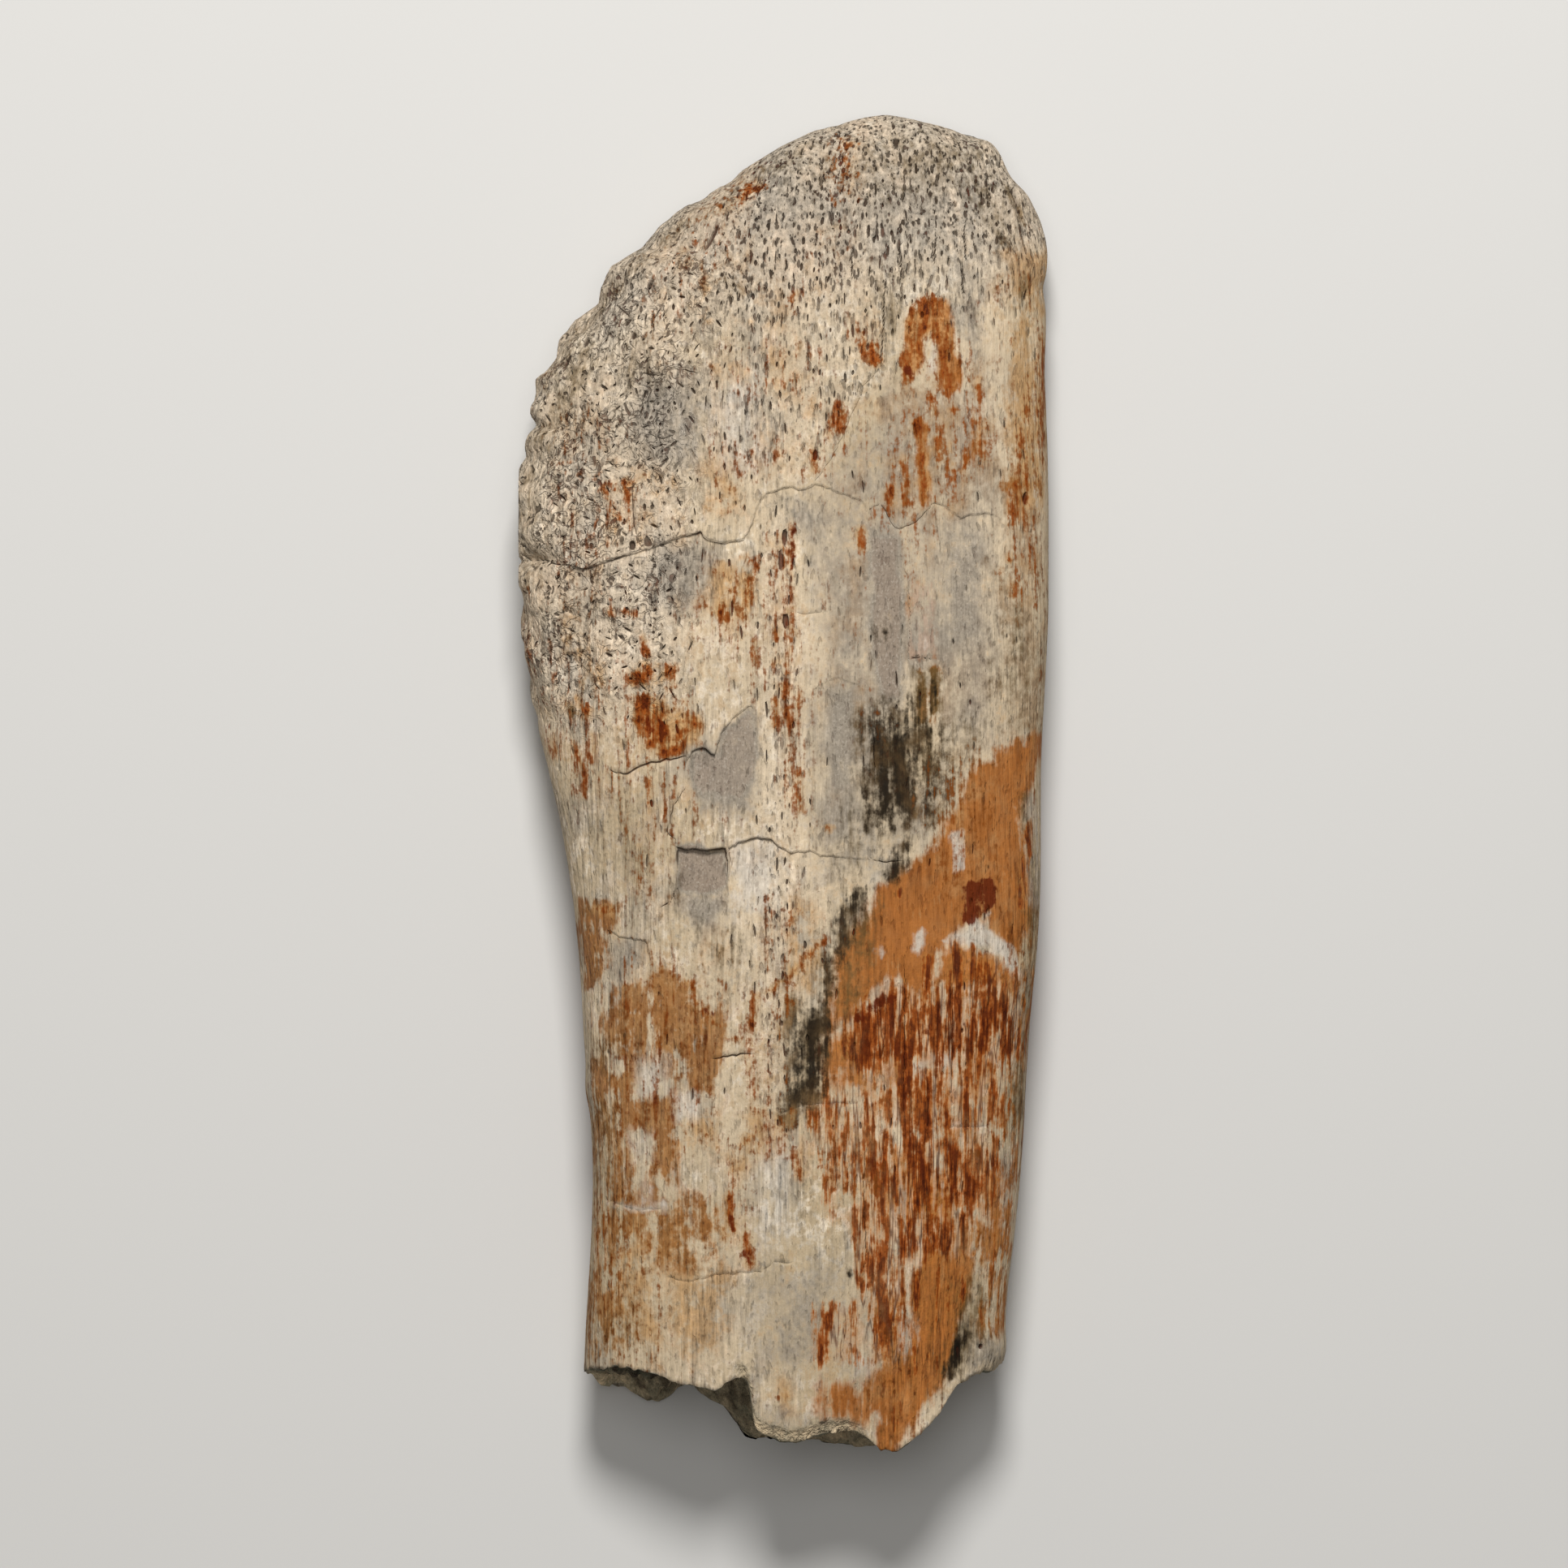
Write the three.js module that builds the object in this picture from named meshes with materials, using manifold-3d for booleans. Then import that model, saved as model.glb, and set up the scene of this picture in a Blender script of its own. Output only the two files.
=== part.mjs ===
// A fossil dinosaur rib: the far end of one blade, its broken end towards -Y and its porous far end towards +Y.
// It lies on its back, outer face up: +X across the blade, +Y along it, +Z up, in millimetres.
// The origin is at the middle of its box, on the surface that it rests on.

import * as THREE from "three";
import { mergeVertices } from "three/addons/utils/BufferGeometryUtils.js";
import Module from "manifold-3d";

// ---- Driving dimensions ----
const HALF_LENGTH = 75;
const HALF_WIDTH = 30;
const THICK_AT_BREAK = 24;
const THICK_AT_FAR_END = 18.5;
const SHARE_BELOW = 0.46; // how much of the thickness lies below the widest level
const ARCH_RISE = 11.2; // the blade's lengthwise bow: height, slope and bend of its widest level
const ARCH_SLOPE = 0.029;
const ARCH_BEND = 0.0007;
const CROWN_LEAN = 0.06; // how much higher the outer face stands at the left edge than at the middle
const TIP_ROUNDING = 38; // length over which the far end thins to nothing
const CORE_SHARE = 0.4; // the spongy core reaches this share of the way out from the middle
const WALL_SHARE = 0.84; // the hard wall starts at this share
const GROOVE_SHARE = 0.08; // depth of the groove along the back, as a share of the thickness below
const FACE_SQUARENESS = 2.75; // how square the section is above its widest level, where 2 is an oval
const BACK_SQUARENESS = 2.4; // and below it
const TIP_BLUNTNESS = 2.6; // how late the thickness starts to round off, and how full it stays at the tip
const TIP_FULLNESS = 2.2;
const SWELL_HEIGHT = 0.3; // slow swells all over the skin
const LUMP_HEIGHT = 0.38; // lumps of the porous bone

// ---- The outline seen from above, from the broken end over the far end and back ----
// Each point is [across, along] as a share of the half width and the half length.
const OUTLINE = [
  [-0.75, -1.07], [-0.745, -0.8], [-0.72, -0.56], [-0.745, -0.38], [-0.77, -0.26], [-0.83, -0.08],
  [-0.895, 0.05], [-0.955, 0.17], [-0.99, 0.29], [-0.995, 0.39], [-0.965, 0.5], [-0.935, 0.575],
  [-0.85, 0.645], [-0.71, 0.715], [-0.58, 0.785], [-0.36, 0.855], [-0.12, 0.925], [0.09, 0.975],
  [0.33, 1.0], [0.55, 0.988], [0.74, 0.965], [0.88, 0.905], [0.955, 0.85], [0.985, 0.76],
  [0.985, 0.62], [0.99, 0.4], [0.985, 0.2], [0.965, 0.0], [0.945, -0.2], [0.915, -0.4],
  [0.875, -0.6], [0.83, -0.8], [0.8, -1.07],
];

// ---- The break: how far it reaches along the blade, at the outer and the inner wall ----
// Each point is [across, along] in millimetres.
const BREAK_OUTER_WALL = [
  [-26, -65.3], [-22.2, -65.2], [-17.5, -65.1], [-13.9, -65.9], [-9.9, -67.2], [-6.8, -67.4], [-5, -66.7],
  [-3.6, -70.6], [-2.6, -72.4], [1, -73.3], [4.5, -72.3], [7.6, -72.2], [10.9, -73.9], [12.6, -74.6],
  [14.5, -72.9], [17.1, -70.3], [18.6, -68], [20.6, -66.1], [23.7, -65.4], [28, -62],
];
const BREAK_INNER_WALL = [
  [-26, -65], [-22.3, -66.6], [-18.6, -68.1], [-13.9, -69.8], [-11.7, -68.2], [-9.8, -68], [-7.6, -69.7],
  [-5.5, -72.4], [-3.6, -74.1], [1.6, -74.2], [7.6, -74.9], [11, -74.8], [14.5, -72.9], [18.6, -68],
  [23, -65.4], [28, -62],
];
const BREAK_LEVEL = -68; // the slice of the blade that the break's section is read from
const HOLLOW_DEPTH = 6; // how far the spongy core is broken back behind the walls
const HOLLOW_SQUARENESS = 2.6;
const CHIP_HEIGHT = 0.35; // roughness of the broken face

// ---- Relief on the outer face: [across, along, depth], where a depth below 0 lies above the surface ----
const UPPER_STEP = [
  [-24.5, 24.3, 0.3], [-20.1, 25.1, 0.55], [-16.4, 26.2, 0.6], [-13.3, 27.3, 0.7], [-8.9, 28.5, 0.75],
  [-8, 27.4, 0.75], [-4.2, 27.5, 0.7], [-3.1, 29.6, 0.6], [-1.9, 31.9, 0.6], [-0.5, 33, 0.6], [4.5, 33.5, 0.5],
  [8.5, 32.1, 0.4], [9.5, 29, -0.2], [4, 24, -0.25], [-1, 21, -0.25], [-6, 18, -0.25], [-13, 15, -0.25],
  [-18, 17, -0.25], [-23, 20, -0.25],
];
const ROUND_SCAR = [
  [-11, 2.2, 0.5], [-10.4, 3.7, 0.6], [-8.5, 4.4, 0.7], [-7.5, 3.2, 0.75], [-7.1, 5.5, 0.8], [-6, 6.9, 0.8],
  [-4.2, 8.5, 0.7], [-2.6, 8.9, 0.6], [-1.8, 7.4, 0.4], [-1.6, 3.3, 0.3], [-2.4, 0.1, 0.1], [-5.5, -4, -0.2],
  [-8.5, -3.6, -0.1], [-10.7, 0.1, 0.3],
];
const DEEP_SCAR = [
  [-12, -7, 1.1], [-9.5, -7.3, 1.3], [-6.5, -7.1, 1.3], [-6.2, -9.9, 1.1], [-6.3, -13.1, 0.8],
  [-7.4, -16.8, -0.2], [-9.4, -17.6, -0.25], [-10.9, -14.9, 0.1], [-11.8, -11.7, 0.6],
];
const SHELF_SCAR = [
  [-6.1, -7.1, 0.5], [-4.6, -6.7, 0.55], [-1.5, -5.8, 0.5], [-0.4, -6.8, 0.4], [0.6, -7.4, 0.3],
  [-0.5, -11.5, -0.2], [-5.9, -12, -0.2],
];
const LONG_SCAR = [
  [9.3, 25.6, 0.2], [11.2, 27.6, 0.35], [13.2, 24.2, 0.6], [13.7, 18.7, 0.6], [13.8, 14.6, 0.45],
  [12.6, 9.6, -0.15], [9.4, 9, -0.2], [8.8, 14, 0.1], [8.8, 20, 0.1],
];
const RIGHT_SCAR = [
  [18.2, 29.5, 0.35], [22.5, 30, 0.3], [24.5, 22, -0.15], [23, 13, -0.2], [18.6, 15, 0.2],
];
const LOWER_SCAR = [
  [-20.2, -16.6, 0.5], [-17.5, -16.9, 0.5], [-15.2, -17.3, 0.2], [-15.6, -21, -0.2], [-18.8, -23.5, -0.2],
  [-19.9, -21.5, 0.3],
];
const MARGIN_DIP = [
  [-27.5, 15.5, 0.5], [-24.5, 18, 0.7], [-21.8, 15.5, 0.6], [-20.8, 10.5, -0.1], [-23.5, 5.5, -0.2],
  [-26.6, 9.5, 0.2],
];
const PORE_DIP = [
  [-16.5, 44.5, 0.2], [-13.5, 48.5, 0.5], [-9.8, 47.5, 0.7], [-9.4, 41, 0.6], [-10.5, 36.5, 0.1],
  [-14.5, 36, -0.2], [-17, 40, -0.1],
];
const SCARS = [
  UPPER_STEP, ROUND_SCAR, DEEP_SCAR, SHELF_SCAR, LONG_SCAR, RIGHT_SCAR, LOWER_SCAR, MARGIN_DIP, PORE_DIP,
];
const SCAR_HEADROOM = 4; // how far a scar's cutter stands above the face

// Grooves cut into the outer face: their route, width and depth.
const GROOVES = [
  { width: 0.5, depth: 0.9, route: [[-24.2, 24.4], [-20.1, 25.1], [-16.4, 26.2], [-13.3, 27.3], [-8.9, 28.5]] },
  { width: 0.4, depth: 0.6, route: [[-0.5, 33], [4.5, 33.5], [8.5, 32.1], [9.4, 31]] },
  { width: 0.7, depth: 1.2, route: [[-12.8, -5.4], [-11.9, -6.9], [-9, -7.4], [-6.2, -7.1]] },
  { width: 0.4, depth: 0.6, route: [[-4.6, -6.7], [-1.5, -5.8], [0.6, -7.4], [7.6, -7.8]] },
  { width: 0.5, depth: 0.8, route: [[11.5, 57.8], [11.3, 52], [10.9, 46.7]] },
  { width: 1.5, depth: 2.2, route: [[25.4, 69.4], [26.7, 66.6], [27.4, 63.6]] },
  { width: 1.3, depth: 1.6, route: [[-8.1, 64], [-7.8, 61.6], [-8.4, 59.9]] },
  { width: 0.9, depth: 1.3, route: [[-15.2, 57], [-14.5, 55]] },
  { width: 0.8, depth: 1.2, route: [[-17.6, 52.2], [-16.6, 50.3]] },
  { width: 1.8, depth: 1.3, route: [[-29.2, 39.6], [-26.6, 41.6], [-24.6, 44.4], [-22.8, 46.6]] },
  { width: 0.5, depth: 0.9, route: [[-7.7, -30.6], [-5.5, -30.2], [-4, -30]] },
];

// Bites out of the rim: [across, along, radius].
const NOTCHES = [
  [-30.6, 25.2, 1.8], [-29.9, 39.6, 1.9], [-26.2, 50.8, 1.5], [-20.6, 58, 1.3],
];

// ---- Pores at the far end ----
const PORE_COUNT = 130;
const PORE_WIDTH = 0.9;
const PORE_LENGTH = 2.6;
const PORE_DEPTH = 0.9;
const PORE_SPACING = 1.7; // least distance between two pores across the blade
const PORE_SEED = 20;

// ---- Mesh fineness of the blade ----
const ROUND_STEPS = 44;
const LENGTH_STEPS = 52;
const RING_EVENNESS = 0.72; // 1 spaces the rings evenly along the blade, 0 crowds them towards its ends
const BREAK_STEPS_ACROSS = 30;
const BREAK_STEPS_UP = 14;

const wasm = await Module();
wasm.setup();

const clamp = THREE.MathUtils.clamp;
const smoothstep = THREE.MathUtils.smoothstep;
const lerp = THREE.MathUtils.lerp;

// ---- Curves ----

// A spline through points, read as its second coordinate at a value of the first, which must keep rising.
function curveAt(points, samples = 400) {
  const line = new THREE.SplineCurve(points.map(([a, b]) => new THREE.Vector2(a, b))).getPoints(samples);
  return (value) => {
    let i = 1;
    while (i < line.length - 1 && line[i].x < value) i++;
    const before = line[i - 1];
    const after = line[i];
    const share = clamp((value - before.x) / Math.max(after.x - before.x, 1e-9), 0, 1);
    return lerp(before.y, after.y, share);
  };
}

// The outline split at its far tip into the place of each edge along the blade.
const outline = new THREE.SplineCurve(
  OUTLINE.map(([across, along]) => new THREE.Vector2(across * HALF_WIDTH, along * HALF_LENGTH)),
).getPoints(1200);
const tipIndex = outline.reduce((best, p, i) => (p.y > outline[best].y ? i : best), 0);
const tip = outline[tipIndex];
const edgeAt = (side) => (along) => {
  let i = 1;
  while (i < side.length - 1 && side[i].y < along) i++;
  const share = clamp((along - side[i - 1].y) / Math.max(side[i].y - side[i - 1].y, 1e-9), 0, 1);
  return lerp(side[i - 1].x, side[i].x, share);
};
const leftEdge = edgeAt(outline.slice(0, tipIndex + 1));
const rightEdge = edgeAt(outline.slice(tipIndex).reverse());

// ---- The blade's form ----

// Thickness along the blade, which rounds off to nothing at the far tip.
function thickness(along) {
  const alongShare = clamp((along + HALF_LENGTH) / (2 * HALF_LENGTH), 0, 1);
  const blade = lerp(THICK_AT_BREAK, THICK_AT_FAR_END, alongShare);
  const share = clamp((along - (tip.y - TIP_ROUNDING)) / TIP_ROUNDING, 0, 1);
  return blade * (1 - share ** TIP_BLUNTNESS) ** (1 / TIP_FULLNESS);
}

// Height of the widest level, which arches so that the back touches the surface near both ends.
const midLevel = (along) => ARCH_RISE - ARCH_SLOPE * along - ARCH_BEND * along ** 2;

// Slow swells of the surface, in millimetres, rougher towards the porous end and its left margin.
function swell(x, y, z) {
  const slow = Math.sin(0.13 * x + 0.07 * y + 1.3) * Math.sin(0.11 * y - 0.09 * x + 0.2 * z);
  const lumps = Math.sin(0.55 * x + 0.3 * y + 2) * Math.sin(0.42 * y - 0.2 * x + 0.5 * z + 0.7);
  return SWELL_HEIGHT * slow + LUMP_HEIGHT * porosity(x, y) * lumps;
}

// How porous the bone is, from 0 on the smooth shaft to 1 at the far end and along its left margin.
function porosity(x, y) {
  const farEnd = smoothstep(y - 0.25 * x, 32, 58);
  const margin = smoothstep(-x + 0.25 * y, 17, 27) * smoothstep(y, 0, 14);
  return Math.max(farEnd, margin);
}

// A point of the blade's skin: along it, and round it from the right edge over the outer face.
function skin(along, angle) {
  const left = leftEdge(along);
  const right = rightEdge(along);
  const above = Math.sin(angle) >= 0;
  const squareness = above ? FACE_SQUARENESS : BACK_SQUARENESS;
  const power = (value) => Math.sign(value) * Math.abs(value) ** (2 / squareness);
  const across = power(Math.cos(angle));
  const up = power(Math.sin(angle));
  const reach = thickness(along) * (above ? 1 - SHARE_BELOW : SHARE_BELOW);
  const lean = above ? 1 - CROWN_LEAN * across : 1 - GROOVE_SHARE * Math.cos(3 * across);
  const x = (left + right) / 2 + (across * (right - left)) / 2;
  const z = midLevel(along) + up * reach * lean;
  const outwards = new THREE.Vector3(across ** 3 * 0.8, 0, up).normalize();
  const fade = smoothstep(right - left, 2, 14);
  return new THREE.Vector3(x, along, z).addScaledVector(outwards, fade * swell(x, along, z));
}

// Height of the outer face above a place, found on the skin of that slice.
function faceHeight(x, along) {
  const left = leftEdge(along);
  const right = rightEdge(along);
  const across = clamp((2 * x - left - right) / (right - left), -0.999, 0.999);
  const angle = Math.acos(Math.sign(across) * Math.abs(across) ** (FACE_SQUARENESS / 2));
  return skin(along, angle).z;
}

// ---- Solids ----

// A closed geometry as a manifold solid, whose edges are shared.
function solidOf(geometry) {
  const bare = geometry.index ? geometry.toNonIndexed() : geometry.clone();
  bare.deleteAttribute("normal");
  bare.deleteAttribute("uv");
  const merged = mergeVertices(bare, 1e-4);
  return new wasm.Manifold(
    new wasm.Mesh({
      numProp: 3,
      vertProperties: new Float32Array(merged.attributes.position.array),
      triVerts: new Uint32Array(merged.index.array),
    }),
  );
}

// A manifold solid as a geometry.
function geometryOf(solid) {
  const mesh = solid.getMesh();
  return new THREE.BufferGeometry()
    .setAttribute("position", new THREE.BufferAttribute(mesh.vertProperties, 3))
    .setIndex(new THREE.BufferAttribute(mesh.triVerts, 1));
}

// Moves each vertex of a geometry to where place(x, y, z) says.
function moved(geometry, place) {
  const position = geometry.attributes.position;
  const point = new THREE.Vector3();
  for (let i = 0; i < position.count; i++) {
    point.fromBufferAttribute(position, i);
    position.setXYZ(i, ...place(point.x, point.y, point.z).toArray());
  }
  return geometry;
}

// The whole blade before anything is broken off, made from a ball whose poles are its two ends.
function bladeSolid() {
  const start = outline[0].y;
  const ball = new THREE.SphereGeometry(1, ROUND_STEPS, LENGTH_STEPS);
  return solidOf(
    moved(ball, (x, y, z) => {
      const turned = 0.5 + Math.asin(clamp(y, -1, 1)) / Math.PI;
      const along = lerp(start, tip.y, lerp((y + 1) / 2, turned, RING_EVENNESS));
      const middle = (leftEdge(along) + rightEdge(along)) / 2;
      const atPole = Math.abs(y) > 1 - 1e-6;
      return atPole ? new THREE.Vector3(middle, along, midLevel(along)) : skin(along, Math.atan2(z, x));
    }),
  );
}

// A scar: what is left where a flake has come off, with a floor at each corner's own depth.
function scarCutter(corners) {
  const shape = new THREE.Shape(corners.map(([x, y]) => new THREE.Vector2(x, y)));
  const floorAt = (x, y) => {
    const gap = ([a, b]) => Math.hypot(a - x, b - y);
    const nearest = corners.reduce((best, corner) => (gap(corner) < gap(best) ? corner : best));
    return -nearest[2];
  };
  const slab = new THREE.ExtrudeGeometry(shape, { depth: 1, bevelEnabled: false });
  return solidOf(
    moved(slab, (x, y, z) => {
      const step = z > 0.5 ? SCAR_HEADROOM : floorAt(x, y);
      return new THREE.Vector3(x, y, faceHeight(x, y) + step);
    }),
  );
}

// A groove with a V section that follows the face and tapers to its two ends.
function grooveCutter({ route, width, depth }) {
  const line = new THREE.SplineCurve(route.map(([x, y]) => new THREE.Vector2(x, y)));
  const steps = (route.length - 1) * 2;
  const positions = [];
  const corners = [];
  for (let i = 0; i <= steps; i++) {
    const share = i / steps;
    const point = line.getPoint(share);
    const heading = line.getTangent(share);
    const taper = 0.25 + 0.75 * Math.sin(Math.PI * clamp(share, 0.04, 0.96));
    const side = new THREE.Vector2(-heading.y, heading.x).multiplyScalar((width * taper) / 2);
    const top = faceHeight(point.x, point.y);
    corners.push([
      [point.x + side.x * 2, point.y + side.y * 2, top + depth * taper],
      [point.x - side.x * 2, point.y - side.y * 2, top + depth * taper],
      [point.x, point.y, top - depth * taper],
    ]);
  }
  const face = (...points) => points.forEach((p) => positions.push(...p));
  for (let i = 0; i < steps; i++) {
    for (let k = 0; k < 3; k++) {
      const next = (k + 1) % 3;
      face(corners[i][k], corners[i + 1][next], corners[i][next]);
      face(corners[i][k], corners[i + 1][k], corners[i + 1][next]);
    }
  }
  face(corners[0][0], corners[0][1], corners[0][2]);
  face(corners[steps][0], corners[steps][2], corners[steps][1]);
  const geometry = new THREE.BufferGeometry();
  geometry.setAttribute("position", new THREE.Float32BufferAttribute(positions, 3));
  const solid = solidOf(geometry);
  return solid.volume() > 0 ? solid : solidOf(turnedOut(geometry));
}

// The same geometry with each face turned round.
function turnedOut(geometry) {
  const array = geometry.attributes.position.array.slice();
  for (let i = 0; i < array.length; i += 9) {
    for (let k = 0; k < 3; k++) [array[i + 3 + k], array[i + 6 + k]] = [array[i + 6 + k], array[i + 3 + k]];
  }
  return new THREE.BufferGeometry().setAttribute("position", new THREE.BufferAttribute(array, 3));
}

// A bite out of the rim.
function notchCutter([x, y, radius]) {
  const lump = new THREE.IcosahedronGeometry(radius, 1).scale(1, 0.75, 4);
  return solidOf(lump.rotateZ(0.5).translate(x, y, midLevel(y)));
}

// How far the break reaches along the blade at a place of its cross-section.
const outerWall = curveAt(BREAK_OUTER_WALL);
const innerWall = curveAt(BREAK_INNER_WALL);
function breakAt(x, z) {
  const left = leftEdge(BREAK_LEVEL);
  const right = rightEdge(BREAK_LEVEL);
  const middle = midLevel(BREAK_LEVEL);
  const across = (2 * x - left - right) / (right - left);
  const up = (z - middle) / (thickness(BREAK_LEVEL) * (z > middle ? 1 - SHARE_BELOW : SHARE_BELOW));
  const sum = Math.abs(across) ** HOLLOW_SQUARENESS + Math.abs(up) ** HOLLOW_SQUARENESS;
  const outwards = sum ** (1 / HOLLOW_SQUARENESS);
  const walls = lerp(innerWall(x), outerWall(x), smoothstep(up, -0.75, 0.75));
  const core = 1 - smoothstep(outwards, CORE_SHARE, WALL_SHARE);
  const lumps = 0.72 + 0.28 * Math.sin(0.62 * x + 1.1) * Math.cos(0.75 * z + 0.4 * x);
  const chips = CHIP_HEIGHT * Math.sin(1.7 * x + 0.9 * z) * Math.cos(1.3 * z - 0.6 * x);
  return walls + chips + HOLLOW_DEPTH * core * lumps * lerp(1, 0.6, smoothstep(x, 0, 14));
}

// Everything beyond the break, as one block with a rough face.
function breakCutter() {
  const width = 2.1 * HALF_WIDTH;
  const height = 1.25 * THICK_AT_BREAK;
  const block = new THREE.BoxGeometry(width, 1, height, BREAK_STEPS_ACROSS, 1, BREAK_STEPS_UP);
  return solidOf(
    moved(block, (x, y, z) => {
      const up = z + midLevel(-HALF_LENGTH);
      return new THREE.Vector3(x, y > 0 ? breakAt(x, up) : -2 * HALF_LENGTH, up);
    }),
  );
}

// Seeded random numbers from 0 to 1, the same on every run.
function randomFrom(seed) {
  let state = seed;
  return () => {
    state = (state + 0x6d2b79f5) | 0;
    let mixed = Math.imul(state ^ (state >>> 15), 1 | state);
    mixed = (mixed + Math.imul(mixed ^ (mixed >>> 7), 61 | mixed)) ^ mixed;
    return ((mixed ^ (mixed >>> 14)) >>> 0) / 4294967296;
  };
}

// Slender pits that run with the grain, scattered where the bone is porous, on both faces.
function poreCutters() {
  const random = randomFrom(PORE_SEED);
  const cutters = [];
  const taken = [];
  while (cutters.length < PORE_COUNT) {
    const along = lerp(0, tip.y - 2.5, random());
    const left = leftEdge(along);
    const right = rightEdge(along);
    const x = lerp(left, right, lerp(0.07, 0.93, random()));
    const above = random() < 0.66;
    const size = lerp(0.55, 1, random());
    const lean = lerp(-0.35, 0.35, random());
    const crowded = taken.some((p) => {
      const clearAcross = Math.abs(p.x - x) > PORE_SPACING;
      const clearAlong = Math.abs(p.y - along) > PORE_SPACING + PORE_LENGTH / 2;
      return p.above === above && !clearAcross && !clearAlong;
    });
    if (crowded || random() > porosity(x, along) ** 2) continue;
    taken.push({ x, y: along, above });
    const angle = Math.acos(clamp((2 * x - left - right) / (right - left), -0.99, 0.99));
    const seat = skin(along, above ? angle : -angle);
    const pit = new THREE.OctahedronGeometry(size).scale(PORE_WIDTH / 2, PORE_LENGTH / 2, PORE_DEPTH);
    cutters.push(solidOf(pit.rotateZ(lean).translate(seat.x, seat.y, seat.z)));
  }
  return cutters;
}

// What lies below the surface that the rib rests on, which leaves two flat worn patches on its back.
function groundCutter() {
  const depth = THICK_AT_BREAK;
  const ground = new THREE.BoxGeometry(4 * HALF_WIDTH, 4 * HALF_LENGTH, depth);
  return solidOf(ground.translate(0, 0, -depth / 2));
}

function ribSolid() {
  const cutters = [
    breakCutter(), groundCutter(), ...SCARS.map(scarCutter), ...GROOVES.map(grooveCutter),
    ...NOTCHES.map(notchCutter), ...poreCutters(),
  ];
  return cutters.reduce((solid, cutter) => solid.subtract(cutter), bladeSolid());
}

function fossilBone() {
  return new THREE.MeshStandardMaterial({ color: 0xc4b294, roughness: 0.8, metalness: 0 });
}

const rib = new THREE.Mesh(geometryOf(ribSolid()), fossilBone());
rib.name = "rib";

const part = new THREE.Group();
part.add(rib);
export default part;
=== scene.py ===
"""A fossil dinosaur rib that lies on its back, seen from above, its porous far end at the top.

The rib's skin is unrolled onto a flat sheet, given points where its relief needs them, meshed and
rolled up again. Sizes on the rib are in millimetres, and places on its outer face are in pixels of the
view from above. Blender's own objects are in metres.
"""

import math

import bpy
import numpy as np
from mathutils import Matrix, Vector, noise
from mathutils.geometry import delaunay_2d_cdt


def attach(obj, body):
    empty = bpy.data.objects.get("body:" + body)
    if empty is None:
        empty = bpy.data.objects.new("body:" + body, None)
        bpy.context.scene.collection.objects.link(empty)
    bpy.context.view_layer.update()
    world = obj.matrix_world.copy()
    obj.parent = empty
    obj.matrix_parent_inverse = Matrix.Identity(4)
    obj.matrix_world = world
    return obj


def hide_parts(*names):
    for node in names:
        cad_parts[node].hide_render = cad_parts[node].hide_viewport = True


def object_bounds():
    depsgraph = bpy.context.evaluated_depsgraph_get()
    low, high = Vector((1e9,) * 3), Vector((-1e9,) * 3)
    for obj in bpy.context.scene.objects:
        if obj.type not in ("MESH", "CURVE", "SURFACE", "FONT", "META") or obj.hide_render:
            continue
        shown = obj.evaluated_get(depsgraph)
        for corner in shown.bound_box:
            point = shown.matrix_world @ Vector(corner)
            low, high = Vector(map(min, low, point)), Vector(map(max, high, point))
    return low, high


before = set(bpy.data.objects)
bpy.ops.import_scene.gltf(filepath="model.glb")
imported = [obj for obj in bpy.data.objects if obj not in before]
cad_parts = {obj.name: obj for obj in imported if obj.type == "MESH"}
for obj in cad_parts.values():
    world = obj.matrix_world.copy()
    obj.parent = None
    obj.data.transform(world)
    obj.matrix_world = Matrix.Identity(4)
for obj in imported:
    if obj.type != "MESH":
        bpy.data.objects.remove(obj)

CAD_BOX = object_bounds()
MM = 0.001

# ---- The blade's form: the same driving dimensions as the solid ----
HALF_LENGTH = 75
HALF_WIDTH = 30
THICK_AT_BREAK = 24
THICK_AT_FAR_END = 18.5
SHARE_BELOW = 0.46  # how much of the thickness lies below the widest level
ARCH_RISE = 11.2  # the blade's lengthwise bow: height, slope and bend of its widest level
ARCH_SLOPE = 0.029
ARCH_BEND = 0.0007
CROWN_LEAN = 0.06  # the share by which the outer face stands higher at the left edge
TIP_ROUNDING = 38  # length over which the far end thins to nothing
TIP_BLUNTNESS = 2.6  # how late the thickness starts to round off, and how full it stays at the tip
TIP_FULLNESS = 2.2
CORE_SHARE = 0.4  # the spongy core reaches this share of the way out from the middle
WALL_SHARE = 0.84  # the hard wall starts at this share
GROOVE_SHARE = 0.08  # depth of the groove along the back, as a share of the thickness below
FACE_SQUARENESS = 2.75  # how square the section is above its widest level, where 2 is an oval
BACK_SQUARENESS = 2.4  # and below it
SWELL_HEIGHT = 0.3  # of the slow swells in the form
LUMP_HEIGHT = 0.38  # and of its lumps where the bone is porous

# The outline seen from above, from the broken end over the far end and back, as shares of half sizes.
OUTLINE = [
    (-0.75, -1.07), (-0.745, -0.8), (-0.72, -0.56), (-0.745, -0.38), (-0.77, -0.26), (-0.83, -0.08),
    (-0.895, 0.05), (-0.955, 0.17), (-0.99, 0.29), (-0.995, 0.39), (-0.965, 0.5), (-0.935, 0.575),
    (-0.85, 0.645), (-0.71, 0.715), (-0.58, 0.785), (-0.36, 0.855), (-0.12, 0.925), (0.09, 0.975),
    (0.33, 1.0), (0.55, 0.988), (0.74, 0.965), (0.88, 0.905), (0.955, 0.85), (0.985, 0.76),
    (0.985, 0.62), (0.99, 0.4), (0.985, 0.2), (0.965, 0.0), (0.945, -0.2), (0.915, -0.4),
    (0.875, -0.6), (0.83, -0.8), (0.8, -1.07),
]

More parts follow.
